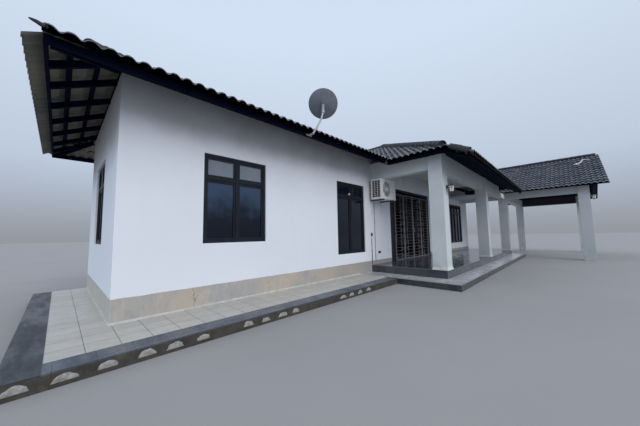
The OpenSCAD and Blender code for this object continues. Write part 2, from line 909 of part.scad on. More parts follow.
// One framed grille from x0 to x1, whose hairpins open towards x1, or towards x0 if flipped
module grille(x0, x1, flipped) {
    s = stile_w;
    z0 = leaf_z0;
    h = leaf_z1 - leaf_z0;
    w = x1 - x0 - 2 * s;
    union() {
        difference() {
            block(x0, x1, leaf_y0, leaf_y1, z0, z0 + h);
            block(x0 + s, x1 - s, leaf_y0 - 10, leaf_y1 + 10, z0 + s, z0 + h - s);
        }
        translate([flipped ? x1 - s : x0 + s, infill_y, z0 + s]) mirror([flipped ? 1 : 0, 0, 0])
            rotate([90, 0, 0]) infill(w, h - 2 * s);
    }
}

// Three hinges per leaf: round knuckles on the pivot line, each with a strap to its own stile
knuckle_r = 9;
knuckle_l = 30;
knuckle_gap = 2;
hinge_heights = [260, 1150, 2040];

// Knuckles at x, between two others or else above and below one; side is where the strap goes
module knuckles(x, between, side) {
    for (z = hinge_heights, step = between ? [0] : [-1, 1]) {
        z0 = leaf_z0 + z + step * (knuckle_l + knuckle_gap);
        translate([x, pivot_y, z0]) cylinder(r = knuckle_r, h = knuckle_l, $fn = 32);
        block(side > 0 ? x : x - 26, side > 0 ? x + 26 : x, pivot_y - 2, leaf_y0 + 1, z0,
            z0 + knuckle_l);
    }
}

module grille_panel_left() {
    color(bronze) union() {
        grille(grille_x0 + leaf_gap, hinge_left_x - leaf_gap / 2, true);
        knuckles(hinge_left_x, false, -1);
    }
}

// The left leaf turns about the pivot line of its hinges
module grille_leaf_left() {
    color(bronze) translate([hinge_left_x, pivot_y, 0]) rotate([0, 0, -door_angle])
        translate([-hinge_left_x, -pivot_y, 0]) union() {
            grille(hinge_left_x + leaf_gap / 2, hinge_left_x + leaf_w - leaf_gap / 2, false);
            knuckles(hinge_left_x, true, 1);
        }
}

// The right leaf carries the lock case on its free stile
module grille_leaf_right() {
    free = hinge_right_x - leaf_w + leaf_gap / 2;
    lock_z = leaf_z0 + 950;
    color(bronze) translate([hinge_right_x, pivot_y, 0]) rotate([0, 0, door_angle])
        translate([-hinge_right_x, -pivot_y, 0]) union() {
            grille(free, hinge_right_x - leaf_gap / 2, true);
            knuckles(hinge_right_x, true, -1);
            block(free, free + 60, leaf_y0 - 14, leaf_y0 + 1, lock_z, lock_z + 130);
            translate([free + 30, leaf_y0 - 13, lock_z + 85]) rotate([90, 0, 0])
                cylinder(r = 15, h = 38, $fn = 32);
        }
}

module grille_panel_right() {
    color(bronze) union() {
        grille(hinge_right_x + leaf_gap / 2, grille_x0 + grille_w - leaf_gap, false);
        knuckles(hinge_right_x, false, 1);
    }
}

aircon_x = wing_x0 - 90;
aircon_z = 2300;
aircon_w = 850;
aircon_d = 340;
aircon_h = 600;
aircon_y1 = front_y - 120;

aircon_fan = [aircon_x + 330, aircon_y1 - aircon_d, aircon_z + aircon_h / 2];
fan_r = 235;

// Wire guard over the fan: rings about a hub, on spokes
module fan_guard() {
    for (r = [75 : 36 : fan_r - 10])
        rotate_extrude($fn = 48) translate([r, 0]) square([6, 6]);
    for (a = [0 : 45 : 315]) rotate([0, 0, a]) translate([30, -3, 0]) cube([fan_r - 25, 6, 6]);
    cylinder(r = 42, h = 8, $fn = 32);
}

// Outdoor unit: a case with a round fan opening in front and air slots in its left side
module aircon_unit() {
    color("ivory") union() {
        difference() {
            block(aircon_x, aircon_x + aircon_w, aircon_fan[1], aircon_y1, aircon_z,
                aircon_z + aircon_h);
            translate(aircon_fan + [0, 90, 0]) rotate([90, 0, 0])
                cylinder(r = fan_r, h = 100, $fn = 48);
            for (row = [0 : 8], column = [0 : 2])
                block(aircon_x - 10, aircon_x + 14, aircon_fan[1] + 45 + column * 92,
                    aircon_fan[1] + 107 + column * 92, aircon_z + 60 + row * 56,
                    aircon_z + 92 + row * 56);
            block(aircon_x + 600, aircon_x + 606, aircon_fan[1] - 10, aircon_fan[1] + 4,
                aircon_z + 20, aircon_z + aircon_h - 20);
        }
        translate(aircon_fan + [0, 10, 0]) rotate([90, 0, 0]) fan_guard();
    }
}

module aircon_bracket() {
    color("silver") union() {
        for (x = [aircon_x + 130, aircon_x + aircon_w - 170]) {
            block(x, x + 40, aircon_y1 - aircon_d, front_y, aircon_z - 40, aircon_z);
            block(x, x + 40, front_y - 40, front_y, aircon_z - 420, aircon_z - 40);
        }
    }
}

// Dish, seen from behind: its axis points away from the front, 47 degrees round and 40 up
dish_r = 320;
dish_turn = 47;
dish_tilt = 40;
dish_c = [-6422, -4420, 4121];
dish_depth = 46;
plate_back = dish_depth + 18;
mast_y = eave_y0 - 40;
mast = [[-6915, mast_y, 3266], [-6821, mast_y, 3399], [-6670, mast_y, 3656], [-6621, mast_y, 3808]];

// Places children on the dish's axis, whose local Z points out of the dish
module on_dish_axis() {
    translate(dish_c) rotate([0, 0, -dish_turn]) rotate([dish_tilt - 90, 0, 0]) children();
}

// A pressed bowl with a turned-up rim, a mounting plate on its back and the feed in front of it
module dish() {
    t = 5;
    n = 8;
    color("gray") on_dish_axis() union() {
        rotate_extrude($fn = 64) polygon([
            for (i = [0 : n]) [dish_r * i / n, dish_depth * pow(i / n, 2) - dish_depth],
            [dish_r, 6], [dish_r - 6, 6],
            for (i = [n : -1 : 0]) [(dish_r - 6) * i / n, dish_depth * pow(i / n, 2) - dish_depth + t]
        ]);
        translate([-50, -60, -plate_back]) cube([100, 120, plate_back - dish_depth + 4]);
        rotate_extrude($fn = 32) polygon([
            [0, 1 - dish_depth], [10, 1 - dish_depth], [10, 110], [30, 120], [34, 170], [0, 178]
        ]);
    }
}

// A round bar between two points
module bar(a, b, r) {
    d = b - a;
    length = norm(d);
    translate(a) rotate([0, acos(d[2] / length), atan2(d[1], d[0])])
        cylinder(r = r, h = length, $fn = 24);
}

// Bent mast on the fascia, with the clamp that holds the dish's plate
module dish_arm() {
    fascia_y = eave_y0 + tile_nose;
    foot = mast[0];
    color("gray") difference() {
        union() {
            block(foot[0] - 70, foot[0] + 70, fascia_y - 8, fascia_y, 3250, 3288);
            block(foot[0] - 15, foot[0] + 15, mast_y, fascia_y, 3254, 3280);
            for (i = [0 : 2]) {
                bar(mast[i], mast[i + 1], 19);
                translate(mast[i]) sphere(r = 23, $fn = 32);
            }
            translate(mast[3]) sphere(r = 36, $fn = 32);
            bar(mast[3], dish_c, 30);
        }
        on_dish_axis() translate([0, 0, -plate_back]) cylinder(r = dish_r + 20, h = 400, $fn = 64);
    }
}

// Centres of the lanterns: on the faces of the porch's left column and the carport's near column
lamp_out = 110;
lamps = [
    [col_1_x + 260, col_y0 - lamp_out, 2370],
    [col_3_x + 175, carport_y0 - lamp_out, 2650]
];

// A lantern's white glass, a tapered turned body
module wall_lamps() {
    color("white") for (p = lamps) translate(p)
        rotate_extrude($fn = 32) polygon([[0, -72], [46, -72], [74, 66], [0, 66]]);
}

// Black iron of one lantern: cap, bottom plate with finial, and an arm to a round wall plate
module lantern_iron() {
    rotate_extrude($fn = 32) polygon([
        [0, 66], [86, 66], [82, 76], [34, 104], [12, 110], [8, 132], [0, 136]
    ]);
    rotate_extrude($fn = 32)
        polygon([[0, -72], [50, -72], [46, -80], [15, -90], [8, -116], [0, -120]]);
    translate([-8, 20, 78]) cube([16, lamp_out - 25, 14]);
    translate([0, lamp_out, 62]) rotate([90, 0, 0]) cylinder(r = 45, h = 14, $fn = 32);
}

module lamp_iron() {
    color("black") for (p = lamps) translate(p) lantern_iron();
}

floor_slab();
plinth();
left_wall();
front_wall_left();
front_wall_over_door();
front_wall_right();
right_wall();
back_wall_left();
back_wall_right();
wing_wall_left();
wing_wall_right();
wing_back_wall();
wall_plates();
apron();
apron_kerb();
porch_floor();
porch_step();
porch_column_left();
porch_column_middle();
carport_column_near_left();
carport_column_near_right();
carport_column_far_left();
carport_column_far_right();
porch_beam();
porch_side_beams();
porch_ceiling();
porch_flat_roof();
carport_beams();
carport_ceiling();
left_roof();
wing_roof();
right_roof();
carport_roof();
fascia_boards();
eave_rafters();
tile_battens();
soffit_boards();
roof_caps();
gable_boards();
front_window_frames();
side_window_frames();
back_window_frames();
window_glass();
door_frame();
grille_panel_left();
grille_leaf_left();
grille_leaf_right();
grille_panel_right();
aircon_unit();
aircon_bracket();
dish();
dish_arm();
wall_lamps();
lamp_iron();
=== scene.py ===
"""The looks of the bungalow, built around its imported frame. Metres, +Z up."""

import math
import random

import bmesh
import bpy
import numpy as np
from mathutils import Matrix, Vector


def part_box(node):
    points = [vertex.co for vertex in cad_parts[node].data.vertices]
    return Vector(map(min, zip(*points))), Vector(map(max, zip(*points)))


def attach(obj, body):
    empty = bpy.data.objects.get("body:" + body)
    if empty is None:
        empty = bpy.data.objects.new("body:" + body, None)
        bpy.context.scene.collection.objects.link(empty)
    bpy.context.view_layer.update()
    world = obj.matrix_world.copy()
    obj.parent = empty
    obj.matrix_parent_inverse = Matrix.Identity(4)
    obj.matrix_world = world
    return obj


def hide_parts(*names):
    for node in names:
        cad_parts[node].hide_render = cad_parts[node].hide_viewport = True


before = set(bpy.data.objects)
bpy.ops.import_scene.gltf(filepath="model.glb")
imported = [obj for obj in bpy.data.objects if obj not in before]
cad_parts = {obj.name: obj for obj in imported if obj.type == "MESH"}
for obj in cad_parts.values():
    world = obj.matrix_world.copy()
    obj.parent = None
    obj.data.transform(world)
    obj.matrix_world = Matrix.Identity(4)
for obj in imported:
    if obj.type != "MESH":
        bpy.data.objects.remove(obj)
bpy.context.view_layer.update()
random.seed(7)

# Places taken from the frame
HOUSE = "house"
X = Vector((1, 0, 0))
Y = Vector((0, 1, 0))
Z = Vector((0, 0, 1))
left_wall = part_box("left_wall")
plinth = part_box("plinth")
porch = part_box("porch_floor")
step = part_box("porch_step")
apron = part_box("apron")
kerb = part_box("apron_kerb")
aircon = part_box("aircon_unit")
LEFT_X = left_wall[0].x
FRONT_Y = left_wall[0].y
PLINTH_Z = plinth[1].z
FLOOR_Z = porch[1].z
APRON_Z = apron[1].z

# Roofs: thickness of the covering's shell, slope of the house's roofs, cut-out of the eaves' corners
TILE_T = 0.05
RISE = math.tan(math.radians(26))
NOTCH = 0.14


# Camera, sky, sun and floor
CAMERA_PLACE = (-10.351, -8.120, 1.260)
CAMERA_TURN = (0.7948, 0.08559, -0.01794)
CAMERA_LENS = 14.4
SKY_STOPS = (
    (0.00, (0.33, 0.35, 0.39)),
    (0.05, (0.37, 0.41, 0.47)),
    (0.22, (0.57, 0.66, 0.80)),
    (0.60, (0.72, 0.83, 1.00)),
)
SKY_STRENGTH = 0.90
SUN_FROM = (-0.28, -0.76, 0.58)
SUN_ENERGY = 1.60
SUN_WIDTH = math.radians(50)
SUN_COLOUR = (1.0, 0.98, 0.95)
FLOOR_HALF = 150


def put_in_scene(name, data):
    thing = bpy.data.objects.new(name, data)
    bpy.context.scene.collection.objects.link(thing)
    return thing


def aim(yaw, pitch, roll):
    """The rotation of a camera that looks along yaw from +Y towards +X, tilted up by pitch."""
    forward = Vector((math.sin(yaw) * math.cos(pitch), math.cos(yaw) * math.cos(pitch), math.sin(pitch)))
    level = Vector((math.cos(yaw), -math.sin(yaw), 0))
    upward = level.cross(forward)
    right = level * math.cos(roll) + upward * math.sin(roll)
    up = upward * math.cos(roll) - level * math.sin(roll)
    return Matrix((right, up, -forward)).transposed()


def add_camera():
    camera = put_in_scene("camera", bpy.data.cameras.new("camera"))
    camera.data.lens = CAMERA_LENS
    camera.data.sensor_width = 36
    camera.data.clip_end = 400
    camera.matrix_world = Matrix.Translation(CAMERA_PLACE) @ aim(*CAMERA_TURN).to_4x4()
    bpy.context.scene.camera = camera


def add_light():
    """A plain sky, dim near the horizon, and a wide soft sun in front of the house."""
    world = bpy.data.worlds.new("sky")
    world.use_nodes = True
    tree = world.node_tree
    place = tree.nodes.new("ShaderNodeTexCoord")
    split = tree.nodes.new("ShaderNodeSeparateXYZ")
    ramp = tree.nodes.new("ShaderNodeValToRGB")
    tree.links.new(place.outputs["Generated"], split.inputs["Vector"])
    tree.links.new(split.outputs["Z"], ramp.inputs["Fac"])
    tree.links.new(ramp.outputs["Color"], tree.nodes["Background"].inputs["Color"])
    stops = ramp.color_ramp.elements
    while len(stops) < len(SKY_STOPS):
        stops.new(0.5)
    for stop, (height, colour) in zip(stops, SKY_STOPS):
        stop.position = height
        stop.color = (*colour, 1)
    tree.nodes["Background"].inputs["Strength"].default_value = SKY_STRENGTH
    bpy.context.scene.world = world
    sun = put_in_scene("sun", bpy.data.lights.new("sun", "SUN"))
    sun.data.energy = SUN_ENERGY
    sun.data.angle = SUN_WIDTH
    sun.data.color = SUN_COLOUR
    sun.rotation_euler = Vector(SUN_FROM).to_track_quat("Z", "Y").to_euler()
    bpy.context.scene.view_settings.view_transform = "Standard"


def add_floor():
    """The plain pale floor of the studio."""
    corners = [(x * FLOOR_HALF, y * FLOOR_HALF, 0) for x, y in ((-1, -1), (1, -1), (1, 1), (-1, 1))]
    mesh = bpy.data.meshes.new("floor")
    mesh.from_pydata(corners, [], [(0, 1, 2, 3)])
    floor = put_in_scene("floor", mesh)
    mesh.materials.append(plain_look("stage", (0.33, 0.32, 0.32), (0.31, 0.30, 0.30), 0.5, 0.8))


# Shader helper
class Look:
    """A node material, with short calls for the nodes that it uses."""

    def __init__(self, name, rough=0.6, metal=0.0, specular=0.5):
        self.material = bpy.data.materials.new(name)
        self.material.use_nodes = True
        self.tree = self.material.node_tree
        self.shader = self.tree.nodes["Principled BSDF"]
        self.shader.inputs["Roughness"].default_value = rough
        self.shader.inputs["Metallic"].default_value = metal
        self.shader.inputs["Specular IOR Level"].default_value = specular
        self.place = self.node("TexCoord").outputs["Object"]

    def node(self, kind, **inputs):
        """A new node. The inputs are given by name, with _ for a blank."""
        node = self.tree.nodes.new("ShaderNode" + kind)
        for name, value in inputs.items():
            self.put(node.inputs[name.replace("_", " ")], value)
        return node

    def put(self, socket, value):
        if isinstance(value, bpy.types.NodeSocket):
            self.tree.links.new(value, socket)
        elif isinstance(value, (tuple, list)) and len(value) == 3 and len(socket.default_value) == 4:
            socket.default_value = (*value, 1)
        else:
            socket.default_value = value

    def noise(self, scale, detail=4.0, rough=0.55, stretch=None):
        where = self.place
        if stretch:
            where = self.node("Mapping", Vector=where, Scale=stretch).outputs["Vector"]
        node = self.node("TexNoise", Scale=scale, Detail=detail, Roughness=rough, Vector=where)
        return node.outputs["Fac"]

    def cells(self, scale):
        """The distance from the nearest of many scattered points."""
        return self.node("TexVoronoi", Scale=scale, Vector=self.place).outputs["Distance"]

    def patches(self, scale, detail=5.0):
        """Soft patches, from 0 to 1."""
        return self.span(self.noise(scale, detail), 0.35, 0.7)

    def tiles(self, size, joint, shift=(0, 0, 0)):
        """Square tiles in plan: 1 on a joint and 0 on a tile, and a grey of its own for each tile."""
        where = self.node("Mapping", Vector=self.place, Location=shift).outputs["Vector"]
        node = self.node(
            "TexBrick", Vector=where, Color1=(0, 0, 0), Color2=(1, 1, 1), Scale=1,
            Brick_Width=size, Row_Height=size, Mortar_Size=joint / 2, Mortar_Smooth=0.3,
        )
        node.offset = 0
        return node.outputs["Fac"], node.outputs["Color"]

    def axis(self, name):
        return self.node("SeparateXYZ", Vector=self.place).outputs[name]

    def ramp(self, name, low, high, start=0.0, end=1.0):
        """A value that runs from start to end between two places on an axis."""
        return self.span(self.axis(name), low, high, start, end)

    def within(self, low, high):
        """1 inside the box from low to high and 0 outside it."""
        soft = 0.001
        mask = 1.0
        for name, a, b in zip("XYZ", low, high):
            mask = self.times(mask, self.ramp(name, a - soft, a + soft))
            mask = self.times(mask, self.ramp(name, b - soft, b + soft, 1, 0))
        return mask

    def attribute(self, name):
        node = self.node("Attribute")
        node.attribute_name = name
        return node.outputs["Fac"]

    def span(self, value, low, high, start=0.0, end=1.0):
        node = self.node("MapRange", Value=value, From_Min=low, From_Max=high, To_Min=start, To_Max=end)
        return node.outputs["Result"]

    def maths(self, operation, a, b=0.0):
        node = self.node("Math")
        node.operation = operation
        self.put(node.inputs[0], a)
        self.put(node.inputs[1], b)
        return node.outputs["Value"]

    def times(self, a, b):
        return self.maths("MULTIPLY", a, b)

    def mix(self, factor, a, b):
        node = self.node("Mix")
        node.data_type = "RGBA"
        self.put(node.inputs[0], factor)
        self.put(node.inputs[6], a)
        self.put(node.inputs[7], b)
        return node.outputs[2]

    def colour(self, value):
        self.put(self.shader.inputs["Base Color"], value)

    def rough(self, value):
        self.put(self.shader.inputs["Roughness"], value)

    def bump(self, height, distance, strength=1.0):
        node = self.node("Bump", Height=height, Distance=distance, Strength=strength)
        normal = self.shader.inputs["Normal"]
        if normal.is_linked:
            self.tree.links.new(normal.links[0].from_socket, node.inputs["Normal"])
        self.tree.links.new(node.outputs["Normal"], normal)


# Materials: heights and places where their colours change
# Heights of the painted shade under the eaves, on the wall paint
EAVE_SHADE_Z = (2.85, 3.60)
# Where the plinth's cement grows darker towards the porch
DARKER_TOWARDS_PORCH_X = (-7.0, -4.2)
CRACK_X = -8.795
# Heights and places of the painted shade on the columns and beams under the roofs
SHADE_Z = (2.3, 2.95)
SHADE_FROM_X = (0.4, 0.9)
SHADE_TO_X = (6.3, 9.0)
# Box of the painted shade on the inner face of the far carport beam
FAR_BEAM_SHADE = ((9.0, -8.38, 2.6), (12.0, -5.9, 3.6))
CARPORT_X = (4.5, 4.6)
CARPORT_Y = (-6.3, -6.2)
LIGHTS_Z = 2.27
# Heights of the painted sky reflection on the first window
SKY_REFLECTION_Z = (1.5, 2.1)
FIRST_WINDOW_X = -6.5
FAN_X = -3.46
FAN_Z = 2.60
FAN_R = 0.236
RAIL_Z = 2.26
SLATE_SIZE = 0.30
SLATE_JOINT = 0.006


def left_side(look, share=1):
    """A mask of the left wall's outer face."""
    return look.ramp("X", LEFT_X + 0.002, LEFT_X + 0.005, share, 0)


def wall_look():
    """White paint over the walls, bare cement on the plinth, with a ragged line between them. Painted shade
    darkens the paint under the eaves, and the paint on the left face is drawn lighter and bluer as painted
    light.
    """
    look = Look("wall_paint", rough=0.75, specular=0.3)
    paint = look.mix(look.patches(0.6, 3), (0.77, 0.8, 0.86), (0.73, 0.76, 0.82))
    streak = look.span(look.noise(2.2, 5, 0.6, (3, 3, 0.25)), 0.55, 0.85)
    paint = look.mix(look.times(streak, 0.08), paint, (0.52, 0.53, 0.54))
    z = look.axis("Z")
    # Painted light: the paint on the left face is drawn lighter and bluer.
    side = left_side(look)
    paint = look.mix(side, paint, (0.84, 0.9, 0.97))
    # Painted shade under the eaves: the paint darkens towards the top of the walls, starting lower down on
    # the left face.
    height = look.maths("ADD", z, look.span(look.noise(1.6, 4), 0.3, 0.7, -0.15, 0.15))
    height = look.maths("ADD", height, look.times(side, 0.55))
    eave_shade = look.span(height, *EAVE_SHADE_Z, 0, 0.8)
    paint = look.mix(eave_shade, paint, (0.4, 0.385, 0.37))
    cement = cement_colour(look)
    ragged = look.span(look.noise(7, 5, 0.7), 0.3, 0.7, -0.006, 0.006)
    line = look.span(look.maths("ADD", z, ragged), PLINTH_Z - 0.006, PLINTH_Z + 0.002)
    look.colour(look.mix(line, cement, paint))
    look.bump(look.noise(2.2, 2), 0.012, 0.5)
    look.bump(look.noise(60, 3), 0.002, 0.35)
    look.bump(line, 0.006, 0.7)
    return look.material


def cement_colour(look):
    """Brown-grey render with paler patches, brush streaks, stains and one crack, darker towards the porch,
    and with painted light on the left face.
    """
    patch = look.span(look.noise(1.3, 5, 0.6), 0.42, 0.6)
    cement = look.mix(patch, (0.47, 0.41, 0.34), (0.37, 0.365, 0.36))
    cement = look.mix(look.span(look.noise(3.6, 5, 0.65), 0.52, 0.7), cement, (0.54, 0.48, 0.41))
    brush = look.span(look.noise(5.0, 5, 0.7, (2.5, 2.5, 0.5)), 0.5, 0.72)
    cement = look.mix(look.times(brush, 0.7), cement, (0.49, 0.47, 0.44))
    stain = look.span(look.noise(9, 6, 0.7), 0.55, 0.75)
    cement = look.mix(look.times(stain, 0.6), cement, (0.27, 0.255, 0.23))
    wander = look.span(look.noise(14, 3), 0.3, 0.7, -0.03, 0.03)
    off = look.maths("ADD", look.maths("SUBTRACT", look.axis("X"), CRACK_X), wander)
    crack = look.span(look.maths("ABSOLUTE", off), 0.002, 0.006, 1, 0)
    crack = look.times(crack, look.ramp("Y", FRONT_Y + 0.02, FRONT_Y + 0.05, 1, 0))
    cement = look.mix(look.times(crack, 0.75), cement, (0.13, 0.12, 0.11))
    # The cement grows darker towards the porch.
    towards_porch = look.ramp("X", *DARKER_TOWARDS_PORCH_X, 0, 0.55)
    cement = look.mix(towards_porch, cement, (0.27, 0.265, 0.26))
    # Painted light: the cement on the left face is drawn paler and greyer.
    return look.mix(left_side(look, 0.6), cement, (0.62, 0.63, 0.59))


def pale_colour(look):
    return look.mix(look.patches(1.2, 4), (0.64, 0.675, 0.69), (0.57, 0.605, 0.62))


def pale_look():
    """Pale grey-green paint of the columns and beams, dirty near the ground, with painted shade on the
    parts under the roofs.
    """
    look = Look("pale_paint", rough=0.55, specular=0.4)
    low = look.ramp("Z", FLOOR_Z, FLOOR_Z + 0.5, 1, 0)
    dirt = look.times(low, look.span(look.noise(6, 5), 0.4, 0.75))
    paint = look.mix(look.times(dirt, 0.6), pale_colour(look), (0.3, 0.29, 0.26))
    # Painted shade: between these places along X the paint is darker up to about 2.3 m, fading out by 2.95
    # m.
    under = look.ramp("Z", *SHADE_Z, 0.55, 0)
    under = look.times(look.ramp("X", *SHADE_FROM_X), under)
    under = look.times(under, look.ramp("X", *SHADE_TO_X, 1, 0))
    look.colour(look.mix(under, paint, (0.36, 0.39, 0.42)))
    look.bump(look.noise(2.5, 2), 0.008, 0.4)
    look.bump(look.noise(45, 3), 0.002, 0.35)
    return look.material


def carport_beam_look():
    """Pale paint, with painted shade on the inner face of the far beam."""
    look = Look("carport_beam", rough=0.6, specular=0.3)
    # Painted shade: the inner face of the far beam is drawn near black.
    far = look.within(*FAR_BEAM_SHADE)
    look.colour(look.mix(far, pale_colour(look), (0.04, 0.036, 0.045)))
    look.bump(look.noise(2.5, 2), 0.008, 0.4)
    return look.material


def plain_look(name, colour, dark, scale=3.0, rough=0.6, bump=0.0015, metal=0.0, specular=0.4):
    look = Look(name, rough=rough, metal=metal, specular=specular)
    look.colour(look.mix(look.patches(scale), colour, dark))
    look.bump(look.noise(scale * 12, 3), bump, 0.5)
    return look.material


def timber_look():
    """Black-brown stained boards with grain drawn out along X and Y, and worn spots."""
    look = Look("dark_timber", rough=0.85, specular=0.04)
    grain = look.noise(26, 5, 0.7, (0.2, 0.2, 1))
    base = look.mix(look.span(grain, 0.4, 0.65), (0.0018, 0.003, 0.014), (0.005, 0.007, 0.024))
    worn = look.times(look.span(look.noise(5, 6, 0.75), 0.62, 0.82), 0.35)
    look.colour(look.mix(worn, base, (0.045, 0.045, 0.05)))
    look.bump(grain, 0.002, 0.5)
    return look.material


def floor_look(name, size, joint, colours, grout, rough, shift=(0, 0, 0)):
    """Square floor tiles, each of its own shade between two colours, with sunk joints."""
    look = Look(name, specular=0.5)
    fac, shade = look.tiles(size, joint, shift=shift)
    tile = look.mix(shade, *colours)
    worn = look.times(look.span(look.noise(9, 6, 0.65), 0.45, 0.8), 0.2)
    tile = look.mix(worn, tile, grout)
    look.colour(look.mix(fac, tile, grout))
    look.rough(look.span(look.noise(3, 4), 0.35, 0.7, rough[0], rough[1]))
    look.bump(fac, -0.002, 0.8)
    look.bump(look.noise(30, 3), 0.0015, 0.4)
    return look.material


def step_look():
    """The lowest step: wet grey tiles on its tread and dark slate on its risers."""
    look = Look("step_tile", specular=0.5)
    fac, shade = look.tiles(SLATE_SIZE, SLATE_JOINT)
    tread = look.mix(shade, (0.52, 0.52, 0.55), (0.43, 0.43, 0.455))
    blotch = look.span(look.noise(6, 5), 0.4, 0.65)
    riser = look.mix(blotch, (0.034, 0.037, 0.043), (0.056, 0.059, 0.067))
    tile = look.mix(look.ramp("Z", APRON_Z - 0.008, APRON_Z - 0.005), riser, tread)
    look.colour(look.mix(fac, tile, (0.07, 0.07, 0.075)))
    look.rough(look.span(look.noise(3, 4), 0.35, 0.7, 0.12, 0.35))
    look.bump(fac, -0.002, 0.8)
    return look.material


def kerb_look():
    """Slate on top of the kerb and bare mossy cement on its side."""
    look = Look("kerb_slate_and_cement", specular=0.5)
    fac, shade = look.tiles(SLATE_SIZE, SLATE_JOINT, shift=(0.14, 0, 0))
    slate = look.mix(shade, (0.05, 0.062, 0.085), (0.075, 0.088, 0.112))
    slate = look.mix(look.span(look.noise(8, 6, 0.7, (1, 0.35, 1)), 0.5, 0.8), slate, (0.13, 0.14, 0.15))
    beside = look.ramp("X", apron[0].x - 0.002, apron[0].x + 0.002, 1, 0)
    slate = look.mix(look.times(beside, 0.75), slate, (0.012, 0.014, 0.02))
    slate = look.mix(fac, slate, (0.03, 0.033, 0.038))
    moss = look.span(look.noise(7, 6, 0.7), 0.4, 0.62)
    side = look.mix(moss, (0.062, 0.056, 0.046), (0.034, 0.032, 0.028))
    side = look.mix(look.span(look.noise(3.1, 5, 0.7), 0.56, 0.66), side, (0.09, 0.072, 0.054))
    top = look.ramp("Z", APRON_Z - 0.016, APRON_Z - 0.013)
    look.colour(look.mix(top, side, slate))
    wet = look.span(look.noise(5, 5, 0.7, (1, 0.3, 1)), 0.4, 0.65, 0.22, 0.5)
    look.rough(look.mix(top, (0.9, 0.9, 0.9), look.maths("ADD", wet, look.times(beside, 0.12))))
    look.bump(fac, -0.002, 0.8)
    look.bump(look.noise(24, 5, 0.7), 0.004, 0.5)
    return look.material


def roof_look():
    """Charcoal tiles with painted shade on the flanks of the rolls and painted highlights on the crests,
    pans and noses, stronger where the tiles are worn; brown-grey underneath, and darker there at the
    carport.
    """
    look = Look("roof_tile", rough=0.55, specular=0.12)
    edge = look.attribute("edge")
    painted_light = look.attribute("painted_light")
    base = look.mix(look.attribute("shade"), (0.014, 0.017, 0.027), (0.044, 0.051, 0.074))
    # Painted shade: the flanks of the rolls are near black.
    base = look.mix(painted_light, (0.004, 0.005, 0.008), base)
    wear_and_highlight = look.span(look.noise(2.4, 6, 0.7), 0.35, 0.65, 0.35, 1.0)
    grain = look.span(look.noise(34, 4, 0.7), 0.35, 0.65, 0.25, 1.0)
    # Painted highlights on the crests, the middles of the pans and the noses, stronger where the wear noise
    # is high.
    high = look.span(painted_light, 0.55, 0.95, 0, 0.6)
    pale = look.times(look.maths("MAXIMUM", high, look.span(edge, 0.4, 1, 0, 0.65)), grain)
    base = look.mix(look.times(pale, wear_and_highlight), base, (0.52, 0.56, 0.64))
    below = look.mix(look.span(look.noise(1.1, 4), 0.4, 0.65), (0.26, 0.235, 0.195), (0.17, 0.175, 0.155))
    carport = look.ramp("Y", *CARPORT_Y, 1, 0)
    carport = look.times(look.ramp("X", *CARPORT_X), carport)
    below = look.mix(carport, below, (0.016, 0.022, 0.038))
    look.colour(look.mix(look.span(edge, -0.9, -0.1, 1, 0), base, below))
    look.bump(look.noise(70, 3), 0.0015, 0.5)
    return look.material


def glass_look():
    """Dark reflecting panes, with a painted reflection of the sky that grows bluer and lighter up the first
    window. The upper lights of the first window have rougher glass and are painted paler as a reflection of
    the pale sky.
    """
    look = Look("dark_glass", specular=0.35)
    upper = look.ramp("Z", LIGHTS_Z - 0.01, LIGHTS_Z + 0.01)
    first = look.ramp("X", FIRST_WINDOW_X, FIRST_WINDOW_X + 0.1, 1, 0)
    upper = look.times(upper, first)
    dark = look.mix(look.noise(1.5, 2), (0.002, 0.004, 0.011), (0.005, 0.008, 0.019))
    # Painted reflection of the sky: the first window's panes grow bluer and lighter higher up.
    drift = look.span(look.noise(2.5, 4), 0.3, 0.7, -0.25, 0.25)
    sky_reflection = look.span(look.maths("ADD", look.axis("Z"), drift), *SKY_REFLECTION_Z)
    dark = look.mix(look.times(sky_reflection, first), dark, (0.036, 0.062, 0.115))
    # Painted reflection: the upper lights of the first window are drawn paler.
    pale = look.mix(look.noise(4, 4), (0.15, 0.18, 0.23), (0.25, 0.27, 0.31))
    look.colour(look.mix(upper, dark, pale))
    look.rough(look.span(upper, 0, 1, 0.03, 0.3))
    look.bump(look.noise(1.1, 1), 0.006, 0.3)
    return look.material


def aircon_look():
    """Cream sheet metal with dirt. The hollow behind the fan guard and the side slots are painted dark as
    shade.
    """
    look = Look("aircon_paint", rough=0.4, specular=0.5)
    cream = look.mix(look.patches(3, 4), (0.92, 0.92, 0.9), (0.82, 0.82, 0.8))
    cream = look.mix(look.span(look.noise(9, 6, 0.7), 0.6, 0.82), cream, (0.42, 0.41, 0.38))
    low, high = aircon
    dx = look.maths("SUBTRACT", look.axis("X"), FAN_X)
    dz = look.maths("SUBTRACT", look.axis("Z"), FAN_Z)
    away = look.maths("SQRT", look.maths("ADD", look.maths("POWER", dx, 2.0), look.maths("POWER", dz, 2.0)))
    # Painted shade in the hollow behind the fan guard.
    hole = look.span(away, FAN_R - 0.002, FAN_R, 1, 0)
    hole = look.times(hole, look.ramp("Y", low.y + 0.022, low.y + 0.032))
    near = (low.x + 0.003, low.y + 0.02, low.z + 0.02)
    far = (low.x + 0.05, high.y - 0.02, high.z - 0.02)
    # Painted shade in the side slots.
    slots = look.within(near, far)
    look.colour(look.mix(slots, look.mix(hole, cream, (0.05, 0.054, 0.06)), (0.012, 0.013, 0.016)))
    look.bump(look.noise(40, 3), 0.001, 0.4)
    return look.material


